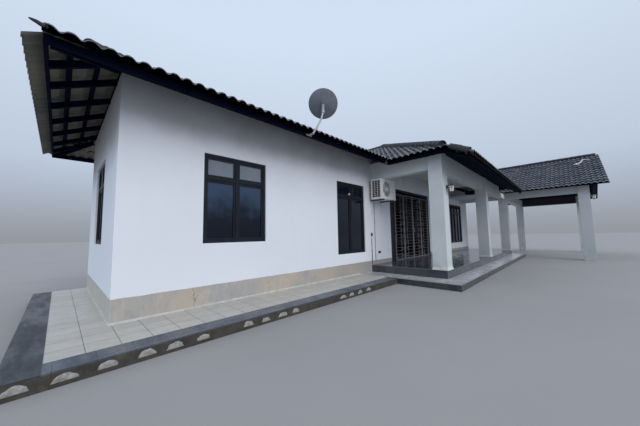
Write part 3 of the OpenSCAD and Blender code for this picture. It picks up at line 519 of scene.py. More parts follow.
def bracket_look():
    """The bracket: dark rails under the air-conditioner and legs painted like the wall."""
    look = Look("bracket_paint", rough=0.5)
    rail = look.ramp("Z", RAIL_Z - 0.003, RAIL_Z + 0.003)
    look.colour(look.mix(rail, (0.66, 0.68, 0.72), (0.045, 0.046, 0.05)))
    look.bump(look.noise(30, 3), 0.001, 0.4)
    return look.material


def dish_look():
    """Grey perforated sheet, drawn as fine holes."""
    look = Look("dish_mesh", rough=0.45, specular=0.5)
    holes = look.span(look.cells(90), 0.18, 0.32, 1, 0)
    grey = look.mix(look.patches(5), (0.23, 0.26, 0.31), (0.17, 0.19, 0.225))
    look.colour(look.mix(look.times(holes, 0.55), grey, (0.06, 0.066, 0.08)))
    look.bump(holes, -0.001, 0.5)
    return look.material


# Mesh helper
BOX_FACES = ((0, 2, 3, 1), (4, 5, 7, 6), (0, 1, 5, 4), (2, 6, 7, 3), (0, 4, 6, 2), (1, 3, 7, 5))


class Piece:
    """Collects the points and faces of one joined mesh, in the part's frame."""

    def __init__(self, name):
        self.name = name
        self.points = []
        self.faces = []

    def add(self, points, faces):
        start = len(self.points)
        self.points += [tuple(p) for p in points]
        self.faces += [[start + i for i in face] for face in faces]

    def box(self, low, high):
        x0, y0, z0 = low
        x1, y1, z1 = high
        corners = [(x, y, z) for z in (z0, z1) for y in (y0, y1) for x in (x0, x1)]
        self.add(corners, BOX_FACES)

    def rings(self, rings):
        """A skin over equal rings of points, closed at both ends."""
        count = len(rings[0])
        last = (len(rings) - 1) * count
        faces = []
        for r in range(0, last, count):
            for i in range(count):
                j = (i + 1) % count
                faces.append((r + i, r + j, r + count + j, r + count + i))
        faces.append(tuple(reversed(range(count))))
        faces.append(tuple(range(last, last + count)))
        self.add([p for ring in rings for p in ring], faces)

    def tube(self, path, radius, sides=8):
        """A round bar along a path of points. The radius is one number or one for each point."""
        path = [Vector(p) for p in path]
        sizes = radius if isinstance(radius, (list, tuple)) else [radius] * len(path)
        side = None
        rings = []
        for i, point in enumerate(path):
            before = path[max(i - 1, 0)]
            after = path[min(i + 1, len(path) - 1)]
            along = (after - before).normalized()
            if side is None:
                side = along.orthogonal().normalized()
            side = (side - along * side.dot(along)).normalized()
            other = along.cross(side)
            turns = [2 * math.pi * k / sides for k in range(sides)]
            rings.append([point + (side * math.cos(t) + other * math.sin(t)) * sizes[i] for t in turns])
        self.rings(rings)

    def lathe(self, profile, centre, axis=Z, steps=24):
        """Turns (radius, height) points about an axis through centre. The ends are closed."""
        turn = Z.rotation_difference(axis).to_matrix()
        rings = []
        for radius, height in profile:
            ring = []
            for k in range(steps):
                t = 2 * math.pi * k / steps
                local = Vector((radius * math.cos(t), radius * math.sin(t), height))
                ring.append(Vector(centre) + turn @ local)
            rings.append(ring)
        self.rings(rings)

    def build(self, material, bevel=0.0, smooth=35.0):
        mesh = bpy.data.meshes.new(self.name)
        mesh.from_pydata(self.points, [], self.faces)
        return finish_piece(put_in_scene(self.name, mesh), material, bevel, smooth)


def finish_piece(piece, material, bevel=0.0, smooth=35.0):
    work = bmesh.new()
    work.from_mesh(piece.data)
    bmesh.ops.recalc_face_normals(work, faces=work.faces)
    work.to_mesh(piece.data)
    work.free()
    piece.data.materials.append(material)
    if bevel:
        modifier = piece.modifiers.new("bevel", "BEVEL")
        modifier.width = bevel
        modifier.segments = 2
        modifier.limit_method = "ANGLE"
    if smooth:
        piece.data.polygons.foreach_set("use_smooth", [True] * len(piece.data.polygons))
        piece.data.set_sharp_from_angle(angle=math.radians(smooth))
    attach(piece, HOUSE)
    return piece


# Roof tiles: a roll and its pan are ROLL wide, and each course shows GAUGE of its length in plan
ROLL = 0.1625
GAUGE = 0.26
ROLL_HEIGHT = 0.043
NOSE_LIFT = 0.030
NOSE_ROUND = 0.03
PAN_DEPTH = 0.013
TILE_THICK = 0.014
ROLL_SHAPE = (
    (0.0, 0.0), (0.10, 0.10), (0.20, 0.52), (0.34, 0.90),
    (0.5, 1.0), (0.66, 0.90), (0.80, 0.52), (0.90, 0.10),
)
# Painted light across a roll, at the places of ROLL_SHAPE: 1 is a painted highlight and 0 is painted shade.
ROLL_PAINTED_LIGHT = (0.95, 0.40, 0.0, 0.5, 1.0, 0.5, 0.0, 0.40)
# Away from its nose a tile's painted tone falls to this share, so each tile is darker towards its upper
# end.
BEHIND_NOSE_TONE = 0.55
NOSE_FROM = 0.97
LIP_LIFT = 0.3
FLAT_LIP_LIFT = -0.4
TILE_JITTER = (-0.003, 0.004)
TILE_SLIP = (-0.008, 0.006)
CREST_X = -10.52
PAST_MIDDLE = 0.2
SIDE_DROOP = 0.05
DROOP_REACH = 0.30
CUT_DISTANCE = 1e-5
JOIN_DISTANCE = 2e-4


def tile_grid(eave, along, uphill, width, depth, rise, offset, droop):
    """One slope's tiles over a rectangle: eave is its first corner and uphill is horizontal.

    A row is its place up the slope, its lift and its course. Under a negative lift it is flat.
    """
    fractions = [f for f, _ in ROLL_SHAPE] + [1]
    heights = [h for _, h in ROLL_SHAPE] + [0]
    tones = [*ROLL_PAINTED_LIGHT, ROLL_PAINTED_LIGHT[0]]
    numbers = range(-1, math.ceil(width / ROLL) + 1)
    across = [offset + (k + f) * ROLL for k in numbers for f, _ in ROLL_SHAPE]
    across = [0.0] + [a for a in across if 0 < a < width] + [width]
    places = [(a - offset) / ROLL % 1 for a in across]
    rolls = [float(np.interp(f, fractions, heights)) for f in places]
    roll_tones = [float(np.interp(f, fractions, tones)) for f in places]
    rows = [(0.0, LIP_LIFT if droop else FLAT_LIP_LIFT, 0)]
    for k in range(math.ceil(depth / GAUGE)):
        start = k * GAUGE
        end = min(start + GAUGE, depth)
        rows.append((start, 1.0, k))
        rows.append((min(start + NOSE_ROUND, end), NOSE_FROM, k))
        rows.append((end, 1 - (end - start) / GAUGE, k))
    points = []
    shades = {}
    grid = []
    for up, lift, course in rows:
        line = []
        for a, roll, tone in zip(across, rolls, roll_tones):
            key = (course, math.floor((a - offset) / ROLL / 2))
            if key not in shades:
                shades[key] = (random.random(), random.uniform(*TILE_JITTER), random.uniform(*TILE_SLIP))
            shade, jitter, slip = shades[key]
            nose = 1.0 if lift >= NOSE_FROM else 0.0
            run = up + slip if nose and 0 < up < depth else up
            hump = roll if lift >= 0 else 0.0
            z = run * rise - PAN_DEPTH + NOSE_LIFT * lift + ROLL_HEIGHT * hump + jitter * lift
            z -= droop * max(1 - run / DROOP_REACH, 0)
            where = eave + along * a + uphill * run + Z * z
            line.append(len(points))
            points.append((where, shade, nose, tone * (1.0 if nose else BEHIND_NOSE_TONE)))
        grid.append(line)
    faces = []
    for low, high in zip(grid, grid[1:]):
        faces += [(low[i], low[i + 1], high[i + 1], high[i]) for i in range(len(low) - 1)]
    return points, faces


def slope(eave, along, uphill, width, depth, rise, regions, offset=0.0, droop=0.0):
    """One slope's tiles, cut to convex regions that are joined again. Each is a list of (point, normal)."""
    points, faces = tile_grid(Vector(eave), along, uphill, width, depth, rise, offset, droop)
    whole = bmesh.new()
    shade = whole.verts.layers.float.new("shade")
    edge = whole.verts.layers.float.new("edge")
    # The painted tone of each point: painted highlights on the crests and pans, painted shade on the
    # flanks.
    painted_light = whole.verts.layers.float.new("painted_light")
    made = []
    for where, tint, nose, tone in points:
        vertex = whole.verts.new(where)
        vertex[shade] = tint
        vertex[edge] = nose
        vertex[painted_light] = tone
        made.append(vertex)
    for face in faces:
        whole.faces.new([made[i] for i in face])
    joined = bpy.data.meshes.new("slope")
    result = bmesh.new()
    for planes in regions:
        part = whole.copy()
        for point, normal in planes:
            geometry = part.verts[:] + part.edges[:] + part.faces[:]
            bmesh.ops.bisect_plane(
                part, geom=geometry, plane_co=point, plane_no=normal, clear_inner=True, dist=CUT_DISTANCE
            )
        part.to_mesh(joined)
        part.free()
        result.from_mesh(joined)
    whole.free()
    bpy.data.meshes.remove(joined)
    bmesh.ops.remove_doubles(result, verts=result.verts[:], dist=JOIN_DISTANCE)
    return result


def thicken(work, thickness):
    """Gives an open sheet a lower side, straight below it, and closes its edges."""
    top = work.faces[:]
    ends = [(edge.verts[0], edge.verts[1]) for edge in work.edges if edge.is_boundary]
    shade = work.verts.layers.float["shade"]
    edge_mark = work.verts.layers.float["edge"]
    below = {}
    for vertex in work.verts[:]:
        copy = work.verts.new(vertex.co - Z * thickness)
        copy[shade] = vertex[shade]
        copy[edge_mark] = -1.0
        below[vertex] = copy
    for face in top:
        work.faces.new([below[v] for v in reversed(face.verts)])
    for a, b in ends:
        work.faces.new((a, b, below[b], below[a]))


def tile_piece(node, slopes):
    """Joins the slopes of one roof into a piece that stands for the roof's node."""
    name = node + "_tiles"
    joined = bmesh.new()
    for sheet in slopes:
        thicken(sheet, TILE_THICK)
        mesh = bpy.data.meshes.new("sheet")
        sheet.to_mesh(mesh)
        sheet.free()
        joined.from_mesh(mesh)
        bpy.data.meshes.remove(mesh)
    mesh = bpy.data.meshes.new(name)
    joined.to_mesh(mesh)
    joined.free()
    piece = finish_piece(put_in_scene(name, mesh), looks["roof_tile"], smooth=50)
    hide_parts(node)


class Roof:
    """Places of the eaves, hips and ridges of the house, worked out from the frame."""

    def __init__(self):
        self.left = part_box("left_roof")
        self.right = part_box("right_roof")
        self.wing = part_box("wing_roof")
        self.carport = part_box("carport_roof")
        low, high = self.left
        self.half = (high.y - low.y) / 2
        self.middle = (high.y + low.y) / 2
        self.block_z = high.z - RISE * self.half
        self.side_out = max((self.block_z - low.z - TILE_T) / RISE, 0)
        self.wing_x = self.wing[1].x
        self.wing_z = self.wing[1].z - RISE * self.wing_x
        self.front_z = self.wing[0].z + TILE_T
        self.hip_y = self.wing[0].y + (self.wing_z - self.front_z) / RISE
        self.valley = -self.wing_x + (self.block_z - self.wing_z) / RISE
        low, high = self.carport
        self.carport_half = (high.x - low.x) / 2
        self.pitch = (high.z - low.z - TILE_T) / self.carport_half


def block_tiles(roof, low, high, side):
    """The slopes of an end block. side is -1 for the left one and 1 for the right one."""
    corner_x = low.x if side < 0 else high.x
    hip_x = corner_x - side * roof.side_out
    notch_x = corner_x - side * NOTCH
    beyond = ((notch_x, 0, 0), -side * X)
    hips = [((hip_x, low.y, 0), Vector((side, 1, 0))), ((hip_x, high.y, 0), Vector((side, -1, 0)))]
    sheets = []
    for face, y in ((-1, low.y), (1, high.y)):
        start_x = corner_x if side < 0 else -PAST_MIDDLE
        hip = ((hip_x, y, 0), Vector((-side, face, 0)))
        dale = ((-side * roof.valley, y, 0), Vector((side, -face, 0)))
        ridge = ((0, roof.middle, 0), face * Y)
        offset = ((CREST_X - start_x) / ROLL - 0.5) % 1 * ROLL
        start = (start_x, y, roof.block_z)
        width = abs(corner_x) + PAST_MIDDLE
        regions = [[hip, dale, ridge, beyond]]
        sheets.append(slope(start, X, -face * Y, width, roof.half, RISE, regions, offset))
    front_notch = (0, low.y + NOTCH, 0)
    back_notch = (0, high.y - NOTCH, 0)
    regions = [
        hips + [(front_notch, Y), (back_notch, -Y)],
        hips + [(front_notch, -Y), beyond],
        hips + [(back_notch, Y), beyond],
    ]
    start = (corner_x, low.y, roof.block_z - RISE * roof.side_out)
    depth = roof.half + roof.side_out
    sheets.append(slope(start, Y, -side * X, 2 * roof.half, depth, RISE, regions, droop=SIDE_DROOP))
    return sheets


def wing_tiles(roof):
    """The wing's two long slopes, which meet the blocks in valleys, and its two hipped ends."""
    low, high = roof.wing
    e = roof.wing_x
    front_y = roof.left[0].y
    back_y = roof.left[1].y
    ridge = (0, roof.middle, 0)
    sheets = []
    for side in (-1, 1):
        front_hip = ((side * e, roof.hip_y, 0), Vector((side, 1, 0)))
        back_hip = ((side * e, high.y, 0), Vector((side, -1, 0)))
        hips = [front_hip, back_hip]
        dale_front = ((side * -roof.valley, front_y, 0), Vector((-side, -1, 0)))
        dale_back = ((side * -roof.valley, back_y, 0), Vector((-side, 1, 0)))
        regions = [
            hips + [((0, front_y, 0), -Y)],
            hips + [((0, front_y, 0), Y), (ridge, -Y), dale_front],
            hips + [(ridge, Y), ((0, back_y, 0), -Y), dale_back],
            hips + [((0, back_y, 0), Y)],
        ]
        start = (side * e, roof.hip_y, roof.wing_z)
        sheets.append(slope(start, Y, -side * X, high.y - roof.hip_y, e, RISE, regions))
    cuts = [((-e, roof.hip_y, 0), Vector((1, -1, 0))), ((e, roof.hip_y, 0), Vector((-1, -1, 0)))]
    sheets.append(slope((-e, low.y, roof.front_z), X, Y, 2 * e, e + roof.hip_y - low.y, RISE, [cuts]))
    cuts = [((-e, high.y, 0), Vector((1, 1, 0))), ((e, high.y, 0), Vector((-1, 1, 0)))]
    sheets.append(slope((-e, high.y, roof.wing_z), X, -Y, 2 * e, e, RISE, [cuts]))
    return sheets


def carport_tiles(roof):
    low, high = roof.carport
    width = high.y - low.y
    sheets = []
    for side, x in ((-1, low.x), (1, high.x)):
        eave = (x, low.y, low.z + TILE_T)
        sheets.append(slope(eave, Y, -side * X, width, roof.carport_half, roof.pitch, [[]]))
    return sheets


# Ridge and hip caps: overlapping tapered tiles, bent round the line that they cover
CAP_LOW_R = 0.100
CAP_HIGH_R = 0.086
CAP_THICK = 0.014
CAP_SHOWS = 0.24
CAP_LAP = 0.05
CAP_ARC = math.radians(118)
CAP_STEPS = 12
CAP_LIFT = 0.010
CAP_SWAY = ((-0.003, 0.003), (-0.003, 0.003), (-0.003, 0.004))
HIP_START = 0.45
WING_HIP_START = 0.19
WING_CAP = 1.15
WING_LIFT = 0.035
VERGE_IN = 0.06
VERGE_DROP = Z * 0.01
KNOB_R = 0.125
HORN_PATH = ((0.0, 0.0), (-0.03, 0.006), (-0.062, 0.018), (-0.09, 0.022), (-0.112, 0.026))
HORN_RADII = (0.020, 0.022, 0.019, 0.014, 0.006)


def cap_tile(piece, low, high, size):
    """One cap, from its wide low end to its narrow high end, with a plug of mortar in the low end."""
    along = (high - low).normalized()
    across = along.cross(Z).normalized()
    up = across.cross(along)
    turns = [CAP_ARC * (2 * k / CAP_STEPS - 1) for k in range(CAP_STEPS + 1)]
    rings = []
    for centre, radius in ((low, CAP_LOW_R * size), (high, CAP_HIGH_R * size)):
        outer = [centre + (across * math.sin(t) + up * math.cos(t)) * radius for t in turns]
        inner = [centre + (across * math.sin(t) + up * math.cos(t)) * (radius - CAP_THICK) for t in turns]
        rings.append(outer + inner[::-1])
    count = len(rings[0])
    half = count // 2
    faces = [(i, (i + 1) % count, count + (i + 1) % count, count + i) for i in range(count)]
    for first in (0, count):
        last = first + count - 1
        faces += [(first + i, first + i + 1, last - 1 - i, last - i) for i in range(half - 1)]
    piece.add(rings[0] + rings[1], faces)
    plug = CAP_LOW_R * size - CAP_THICK - 0.002
    piece.lathe([(plug, 0.03), (plug - 0.002, 0.05)], low, along, 12)


def cap_run(piece, low, high, size=1.0, lift=CAP_LIFT):
    """Caps of equal length from the low end to the high end, slightly out of line."""
    low = Vector(low) + Z * lift
    high = Vector(high) + Z * lift
    count = max(round((high - low).length / CAP_SHOWS), 1)
    for k in range(count):
        a = low.lerp(high, k / count)
        b = low.lerp(high, (k + 1) / count)
        sway = Vector([random.uniform(*limits) for limits in CAP_SWAY])
        cap_tile(piece, a + sway, b + (b - a).normalized() * CAP_LAP, size)


def hip_run(piece, corner, apex, start, size=1.0, lift=CAP_LIFT):
    """Caps up a hip, from a distance start in plan above its corner."""
    corner = Vector(corner)
    apex = Vector(apex)
    share = start * RISE / (apex.z - corner.z)
    cap_run(piece, corner.lerp(apex, share), apex, size, lift)


def knob(piece, centre):
    """A domed piece over the point where ridge and hips meet."""
    turns = [math.radians(degrees) for degrees in range(-40, 90, 16)]
    dome = [(KNOB_R * math.cos(t), KNOB_R * math.sin(t)) for t in turns]
    piece.lathe(dome + [(0.01, KNOB_R)], Vector(centre), steps=20)


def ridge_caps(roof):
    piece = Piece("ridge_and_hip_caps")
    top = roof.left[1].z
    e = roof.wing_x
    for side, corner_x in ((-1, roof.left[0].x), (1, roof.right[1].x)):
        hip_x = corner_x - side * roof.side_out
        apex = Vector((hip_x - side * roof.half, roof.middle, top))
        for y in (roof.left[0].y, roof.left[1].y):
            hip_run(piece, (hip_x, y, roof.block_z), apex, HIP_START)
        meet = Vector((side * (e - (top - roof.wing_z) / RISE), roof.middle, top))
        cap_run(piece, apex, meet - side * 0.1 * X)
        knob(piece, apex)
    front = Vector((0, roof.hip_y + e, roof.wing[1].z))
    back = Vector((0, roof.wing[1].y - e, roof.wing[1].z))
    for side in (-1, 1):
        hip_run(piece, (side * e, roof.hip_y, roof.wing_z), front, WING_HIP_START, WING_CAP, WING_LIFT)
        hip_run(piece, (side * e, roof.wing[1].y, roof.wing_z), back, WING_HIP_START)
        x = side * (e - VERGE_IN)
        start = Vector((x, roof.wing[0].y + 0.10, roof.front_z + RISE * 0.09)) - VERGE_DROP
        end = Vector((x, roof.hip_y - VERGE_IN, roof.wing_z - RISE * VERGE_IN)) - VERGE_DROP
        cap_run(piece, start, end)
    cap_run(piece, front, back)
    knob(piece, front)
    knob(piece, back)
    low, high = roof.carport
    middle_x = (low.x + high.x) / 2
    cap_run(piece, (middle_x, low.y + 0.12, high.z), (middle_x, high.y - 0.02, high.z))
    built = piece.build(looks["cap"], smooth=40)
    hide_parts("roof_caps")


def corner_horns(roof):
    """A bent, tapered strap that sticks out of each outer corner of the eaves."""
    piece = Piece("eave_corner_horns")
    for side, corner_x in ((-1, roof.left[0].x), (1, roof.right[1].x)):
        for face, y in ((-1, roof.left[0].y), (1, roof.left[1].y)):
            root = Vector((corner_x - side * 0.165, y, roof.block_z + 0.012))
            points = [root + side * -d * X + Z * h for d, h in HORN_PATH]
            piece.tube(points, HORN_RADII)
            inner = root - side * 0.05 * X - face * 0.06 * Y + Z * 0.02
            piece.tube([root, inner], (0.018, 0.02))
    piece.build(looks["cap"])


# Mortar on the carport's left slope, from its ridge to its eave: places on the slope as (x, y)
MORTAR = ((6.891, -8.560), (6.978, -8.411), (7.135, -8.624), (7.509, -8.727), (7.363, -8.950))
MORTAR_RADII = (0.025, 0.035, 0.03, 0.035, 0.02)
MORTAR_LUMP = ((0.02, -0.06), (0.085, -0.035), (0.10, 0.0), (0.075, 0.05), (0.02, 0.065))


def mortar_bits(roof):
    """Pale mortar smeared on the tiles and a lump at the front end of the carport's ridge."""
    low, high = roof.carport
    piece = Piece("roof_mortar")
    points = [Vector((x, y, low.z + TILE_T + (x - low.x) * roof.pitch + 0.072)) for x, y in MORTAR]
    piece.tube(points, MORTAR_RADII, 7)
    end = Vector(((low.x + high.x) / 2, low.y + 0.10, high.z + 0.03))
    piece.lathe(MORTAR_LUMP, end, -Y, 14)
    piece.build(looks["mortar"], smooth=60)


# Kerb and plinth
DAB_X = (
    -10.541, -10.255, -9.962, -9.648, -9.383, -9.074, -8.475,
    -8.194, -7.893, -7.641, -6.445, -6.180, -5.894, -5.585,
)
DAB_WIDTH = (0.155, 0.185)
DAB_HEIGHT = (0.060, 0.074)
DAB_LOW_Z = (0.034, 0.042)
DAB_DEPTH = (0.008, 0.014)
DAB_WOBBLE = (0.88, 1.08)
DAB_RINGS = ((1.0, 0.0), (0.93, 0.55), (0.75, 0.85), (0.4, 1.0))
FILLET = 0.022


def dab(piece, x, y, low_z, width, height, depth):
    """A half-round lump on a wall that faces the front."""
    outline = []
    for k in range(11):
        t = math.pi * k / 10
        wobble = random.uniform(*DAB_WOBBLE)
        outline.append((width / 2 * math.cos(t) * wobble, height * math.sin(t) * wobble))
    rings = []
    for size, out in DAB_RINGS:
        ring_y = y - depth * out
        ring_z = low_z + height * 0.35 * (1 - size)
        rings.append([Vector((x + px * size, ring_y, ring_z + pz * size)) for px, pz in outline])
    piece.rings(rings)


def kerb_dabs():
    """Half-round dabs of pale cement along the kerb's front side."""
    piece = Piece("kerb_dabs")
    for x in DAB_X:
        width = random.uniform(*DAB_WIDTH)
        height = random.uniform(*DAB_HEIGHT)
        low_z = random.uniform(*DAB_LOW_Z)
        depth = random.uniform(*DAB_DEPTH)
        dab(piece, x, kerb[0].y + 0.002, low_z, width, height, depth)
    piece.build(looks["dab"], smooth=60)


def plinth_fillet():
    """A pale cement fillet where the plinth meets the apron."""
    piece = Piece("plinth_fillet")
    corners = (
        (LEFT_X, kerb[1].y - 0.01, -1, 0),
        (LEFT_X, FRONT_Y, -1, -1),
        (porch[0].x - 0.61, FRONT_Y, 0, -1),
    )
    rings = []
    for x, y, out_x, out_y in corners:
        inner = Vector((x, y, APRON_Z))
        out = Vector((out_x * FILLET, out_y * FILLET, 0))
        rings.append([inner, inner + out, inner + out * 0.8 + Z * 0.006, inner + Z * FILLET * 1.1])
    piece.rings(rings)
    piece.build(looks["fillet"], smooth=0)


# Small things on the front wall
CONDUIT_X = -3.687
CONDUIT_Y = FRONT_Y - 0.010
CONDUIT_Z = (1.125, 0.36)
DRAIN_X = -3.50
DRAIN_Y = FRONT_Y - 0.016
DRAIN_LOW_Z = 0.40
LINES_X = -2.90
WINDOW_KNOB = (-4.718, FRONT_Y + 0.05, 2.378)


def on_wall(piece, left, right, out, low_z, high_z):
    """A block that stands out from the front wall."""
    piece.box((left, FRONT_Y - out, low_z), (right, FRONT_Y, high_z))


def junction_box():
    piece = Piece("junction_box")
    on_wall(piece, -3.71, -3.665, 0.024, 1.125, 1.165)
    piece.build(looks["plastic"], bevel=0.003)


def conduit():
    """A switch, and the conduit that runs down from it in three clips."""
    piece = Piece("conduit_and_switch")
    on_wall(piece, -3.712, -3.662, 0.036, 1.195, 1.295)
    piece.tube([(CONDUIT_X, CONDUIT_Y, z) for z in CONDUIT_Z], 0.009, 10)
    for z in (0.5, 0.75, 1.0):
        on_wall(piece, -3.703, -3.671, 0.022, z, z + 0.012)
    piece.build(looks["conduit"], bevel=0.002)


def aircon_lines():
    """The air-conditioner's drain with its clips, and the lines that bend into the wall."""
    piece = Piece("aircon_lines")
    low, high = aircon
    piece.tube([(DRAIN_X, DRAIN_Y, low.z - 0.06), (DRAIN_X, DRAIN_Y, DRAIN_LOW_Z)], 0.010, 10)
    bend = [
        (-3.02, high.y - 0.05, low.z + 0.12),
        (-2.93, high.y - 0.05, low.z + 0.10),
        (LINES_X, high.y - 0.02, low.z + 0.06),
        (LINES_X, FRONT_Y - 0.03, low.z + 0.06),
        (LINES_X, FRONT_Y, low.z + 0.06),
    ]
    piece.tube(bend, 0.016, 10)
    for z in (0.6, 1.1, 1.6, 2.1):
        on_wall(piece, DRAIN_X - 0.02, DRAIN_X + 0.02, 0.036, z, z + 0.012)
    piece.build(looks["hose"])


def low_vent():
    """A plate with five bars."""
    piece = Piece("low_vent")
    on_wall(piece, -3.325, -3.195, 0.012, 0.657, 0.729)
    for k in range(5):
        z = 0.664 + k * 0.013
        piece.box((-3.318, FRONT_Y - 0.018, z), (-3.202, FRONT_Y - 0.008, z + 0.005))
    piece.build(looks["conduit"], bevel=0.001)


def window_knob():
    """The knob on the upper light of the second window."""
    piece = Piece("window_knob")
    profile = [(0.012, 0.0), (0.012, 0.03), (0.026, 0.036), (0.03, 0.05), (0.024, 0.064), (0.006, 0.07)]
    piece.lathe(profile, WINDOW_KNOB, -Y, 16)
    piece.build(looks["plastic"], smooth=50)


# Steps, lanterns and the parts of the air-conditioner
NOSING = 0.012


def step_trims():
    """Thin strips along the edges of the treads and up the porch floor's front left corner."""
    piece = Piece("step_nosings")
    x, y = porch[0].x, porch[0].y
    piece.box((x - 0.004, y - 0.004, APRON_Z), (x + NOSING, y + NOSING, FLOOR_Z - 0.01))
    for (low, high), top in ((porch, FLOOR_Z), (step, APRON_Z)):
        left, front = low.x - 0.003, low.y - 0.003
        piece.box((left, front, top - 0.009), (high.x, low.y + NOSING, top + 0.0015))
        piece.box((left, low.y + NOSING, top - 0.009), (low.x + NOSING, FRONT_Y - 0.01, top + 0.0015))
    piece.build(looks["nosing"], bevel=0.001)


def lantern_cages():
    """Black bars and a ring round the glass of both lanterns."""
    piece = Piece("lantern_cages")
    low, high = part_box("wall_lamps")
    near = Vector((low.x + 0.074, high.y - 0.074, low.z + 0.072))
    far = Vector((high.x - 0.074, low.y + 0.074, high.z - 0.066))
    for centre in (near, far):
        for k in range(6):
            turn = math.pi * (k + 0.5) / 3
            out = Vector((math.cos(turn), math.sin(turn), 0))
            piece.tube([centre + out * 0.050 - Z * 0.074, centre + out * 0.078 + Z * 0.068], 0.006, 6)
        ring = [(math.cos(math.pi * k / 12), math.sin(math.pi * k / 12)) for k in range(25)]
        piece.tube([centre + Vector((x * 0.070, y * 0.070, 0.030)) for x, y in ring], 0.005, 6)
    piece.build(looks["lamp_iron"], smooth=50)


def side_slots():
    """Painted shade: dark boxes in the mouths of the slots in the air-conditioner's left side, in three
    columns.
    """
    piece = Piece("aircon_side_slots")
    low = aircon[0]
    for column in range(3):
        y = low.y + 0.037 + 0.092 * column
        for row in range(9):
            z = low.z + 0.052 + 0.056 * row
            piece.box((low.x - 0.002, y, z), (low.x + 0.004, y + 0.078, z + 0.048))
    piece.build(looks["slot"])


def fan_blades():
    """Three bent blades behind the guard of the air-conditioner."""
    piece = Piece("aircon_fan")
    centre = Vector((FAN_X, aircon[0].y + 0.055, FAN_Z))
    for k in range(3):
        rings = []
        for ring in range(7):
            r = 0.045 + 0.028 * ring
            sweep = math.radians(120 * k + 12 * ring / 6)
            reach = math.radians(62 - 3 * ring)
            line = []
            for turn, lift in ((-0.5, -0.02), (0.0, 0.0), (0.5, 0.02)):
                angle = sweep + reach * turn
                line.append(centre + Vector((r * math.cos(angle), lift, r * math.sin(angle))))
            back = [p + Vector((0, 0.003, 0)) for p in reversed(line)]
            rings.append(line + back)
        piece.rings(rings)
    piece.lathe([(0.05, 0.0), (0.05, 0.03), (0.03, 0.04)], centre + Y * 0.015, -Y, 18)
    piece.build(looks["fan"], smooth=50)


add_camera()
add_light()

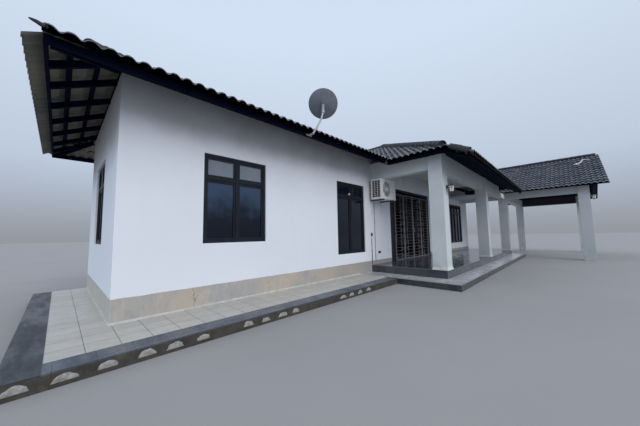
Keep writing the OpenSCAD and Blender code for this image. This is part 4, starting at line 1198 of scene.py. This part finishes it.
looks = {
    "wall": wall_look(),
    "pale": pale_look(),
    "carport_beam": carport_beam_look(),
    "roof_tile": roof_look(),
    "cap": plain_look("cap_tile", (0.012, 0.013, 0.018), (0.045, 0.05, 0.062), 7, 0.6),
    "mortar": plain_look("mortar", (0.66, 0.67, 0.69), (0.48, 0.49, 0.51), 9, 0.85),
    "dab": plain_look("cement_dab", (0.38, 0.37, 0.35), (0.19, 0.185, 0.175), 26, 0.9, 0.006),
    "fillet": plain_look("cement_fillet", (0.54, 0.53, 0.5), (0.38, 0.37, 0.35), 10, 0.85),
    "glass": glass_look(),
    "apron": floor_look("apron_tile", 0.29, 0.008, ((0.5, 0.48, 0.44), (0.45, 0.43, 0.395)),
                        (0.15, 0.14, 0.125), (0.3, 0.6), (10.11, 4.61, 0)),
    "slate": floor_look("slate_tile", SLATE_SIZE, SLATE_JOINT, ((0.045, 0.05, 0.06), (0.075, 0.08, 0.095)),
                        (0.03, 0.03, 0.033), (0.08, 0.3)),
    "step": step_look(),
    "kerb": kerb_look(),
    "nosing": plain_look("step_nosing", (0.2, 0.2, 0.2), (0.13, 0.13, 0.135), 12, 0.35),
    "timber": timber_look(),
    "bronze": plain_look("bronze_frame", (0.007, 0.009, 0.016), (0.014, 0.016, 0.024), 5, 0.45,
                         specular=0.25),
    # The grille's dark iron is drawn mid grey as a painted sheen.
    "iron": plain_look("grille_iron", (0.24, 0.225, 0.25), (0.15, 0.14, 0.16), 8, 0.3),
    "lamp_iron": plain_look("lamp_iron", (0.03, 0.03, 0.033), (0.05, 0.05, 0.055), 8, 0.4),
    "cream": aircon_look(),
    # Painted shade for the slots of the air-conditioner
    "slot": plain_look("slot_painted_shade", (0.03, 0.031, 0.034), (0.05, 0.051, 0.054), 10, 0.7),
    "bracket": bracket_look(),
    "fan": plain_look("fan_plastic", (0.4, 0.41, 0.44), (0.3, 0.31, 0.33), 8, 0.5),
    "hose": plain_look("grey_hose", (0.38, 0.39, 0.42), (0.26, 0.27, 0.29), 14, 0.6),
    "conduit": plain_look("conduit", (0.055, 0.058, 0.068), (0.035, 0.037, 0.043), 14, 0.5),
    "plastic": plain_look("white_plastic", (0.7, 0.71, 0.72), (0.58, 0.59, 0.6), 6, 0.4),
    "dish": dish_look(),
    "galvanised": plain_look("galvanised_tube", (0.4, 0.42, 0.45), (0.28, 0.29, 0.31), 12, 0.4, metal=0.3),
    "concrete": plain_look("concrete", (0.06, 0.058, 0.055), (0.04, 0.04, 0.038), 2, 0.8),
    "lamp": plain_look("lamp_white", (0.85, 0.85, 0.82), (0.75, 0.75, 0.72), 5, 0.3),
}

# The look of each CAD node that stays visible
DRESSING = {
    "wall": """left_wall front_wall_left front_wall_over_door front_wall_right right_wall back_wall_left
        back_wall_right wing_wall_left wing_wall_right wing_back_wall plinth""",
    "pale": """porch_column_left porch_column_middle carport_column_near_left carport_column_near_right
        carport_column_far_left carport_column_far_right porch_beam porch_side_beams porch_flat_roof
        porch_ceiling""",
    "carport_beam": "carport_beams",
    "apron": "apron",
    "kerb": "apron_kerb",
    "slate": "porch_floor",
    "step": "porch_step",
    "concrete": "floor_slab",
    "timber": """wall_plates fascia_boards eave_rafters tile_battens soffit_boards gable_boards
        carport_ceiling""",
    "bronze": "front_window_frames side_window_frames back_window_frames door_frame",
    "glass": "window_glass",
    "iron": "grille_panel_left grille_leaf_left grille_leaf_right grille_panel_right",
    "lamp_iron": "lamp_iron",
    "cream": "aircon_unit",
    "bracket": "aircon_bracket",
    "dish": "dish",
    "galvanised": "dish_arm",
    "lamp": "wall_lamps",
}
for look, names in DRESSING.items():
    for name in names.split():
        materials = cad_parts[name].data.materials
        materials.clear()
        materials.append(looks[look])

roof = Roof()
tile_piece("left_roof", block_tiles(roof, *roof.left, -1))
tile_piece("right_roof", block_tiles(roof, *roof.right, 1))
tile_piece("wing_roof", wing_tiles(roof))
tile_piece("carport_roof", carport_tiles(roof))
ridge_caps(roof)
corner_horns(roof)
mortar_bits(roof)
kerb_dabs()
plinth_fillet()
junction_box()
conduit()
aircon_lines()
low_vent()
window_knob()
step_trims()
lantern_cages()
side_slots()
fan_blades()
add_floor()
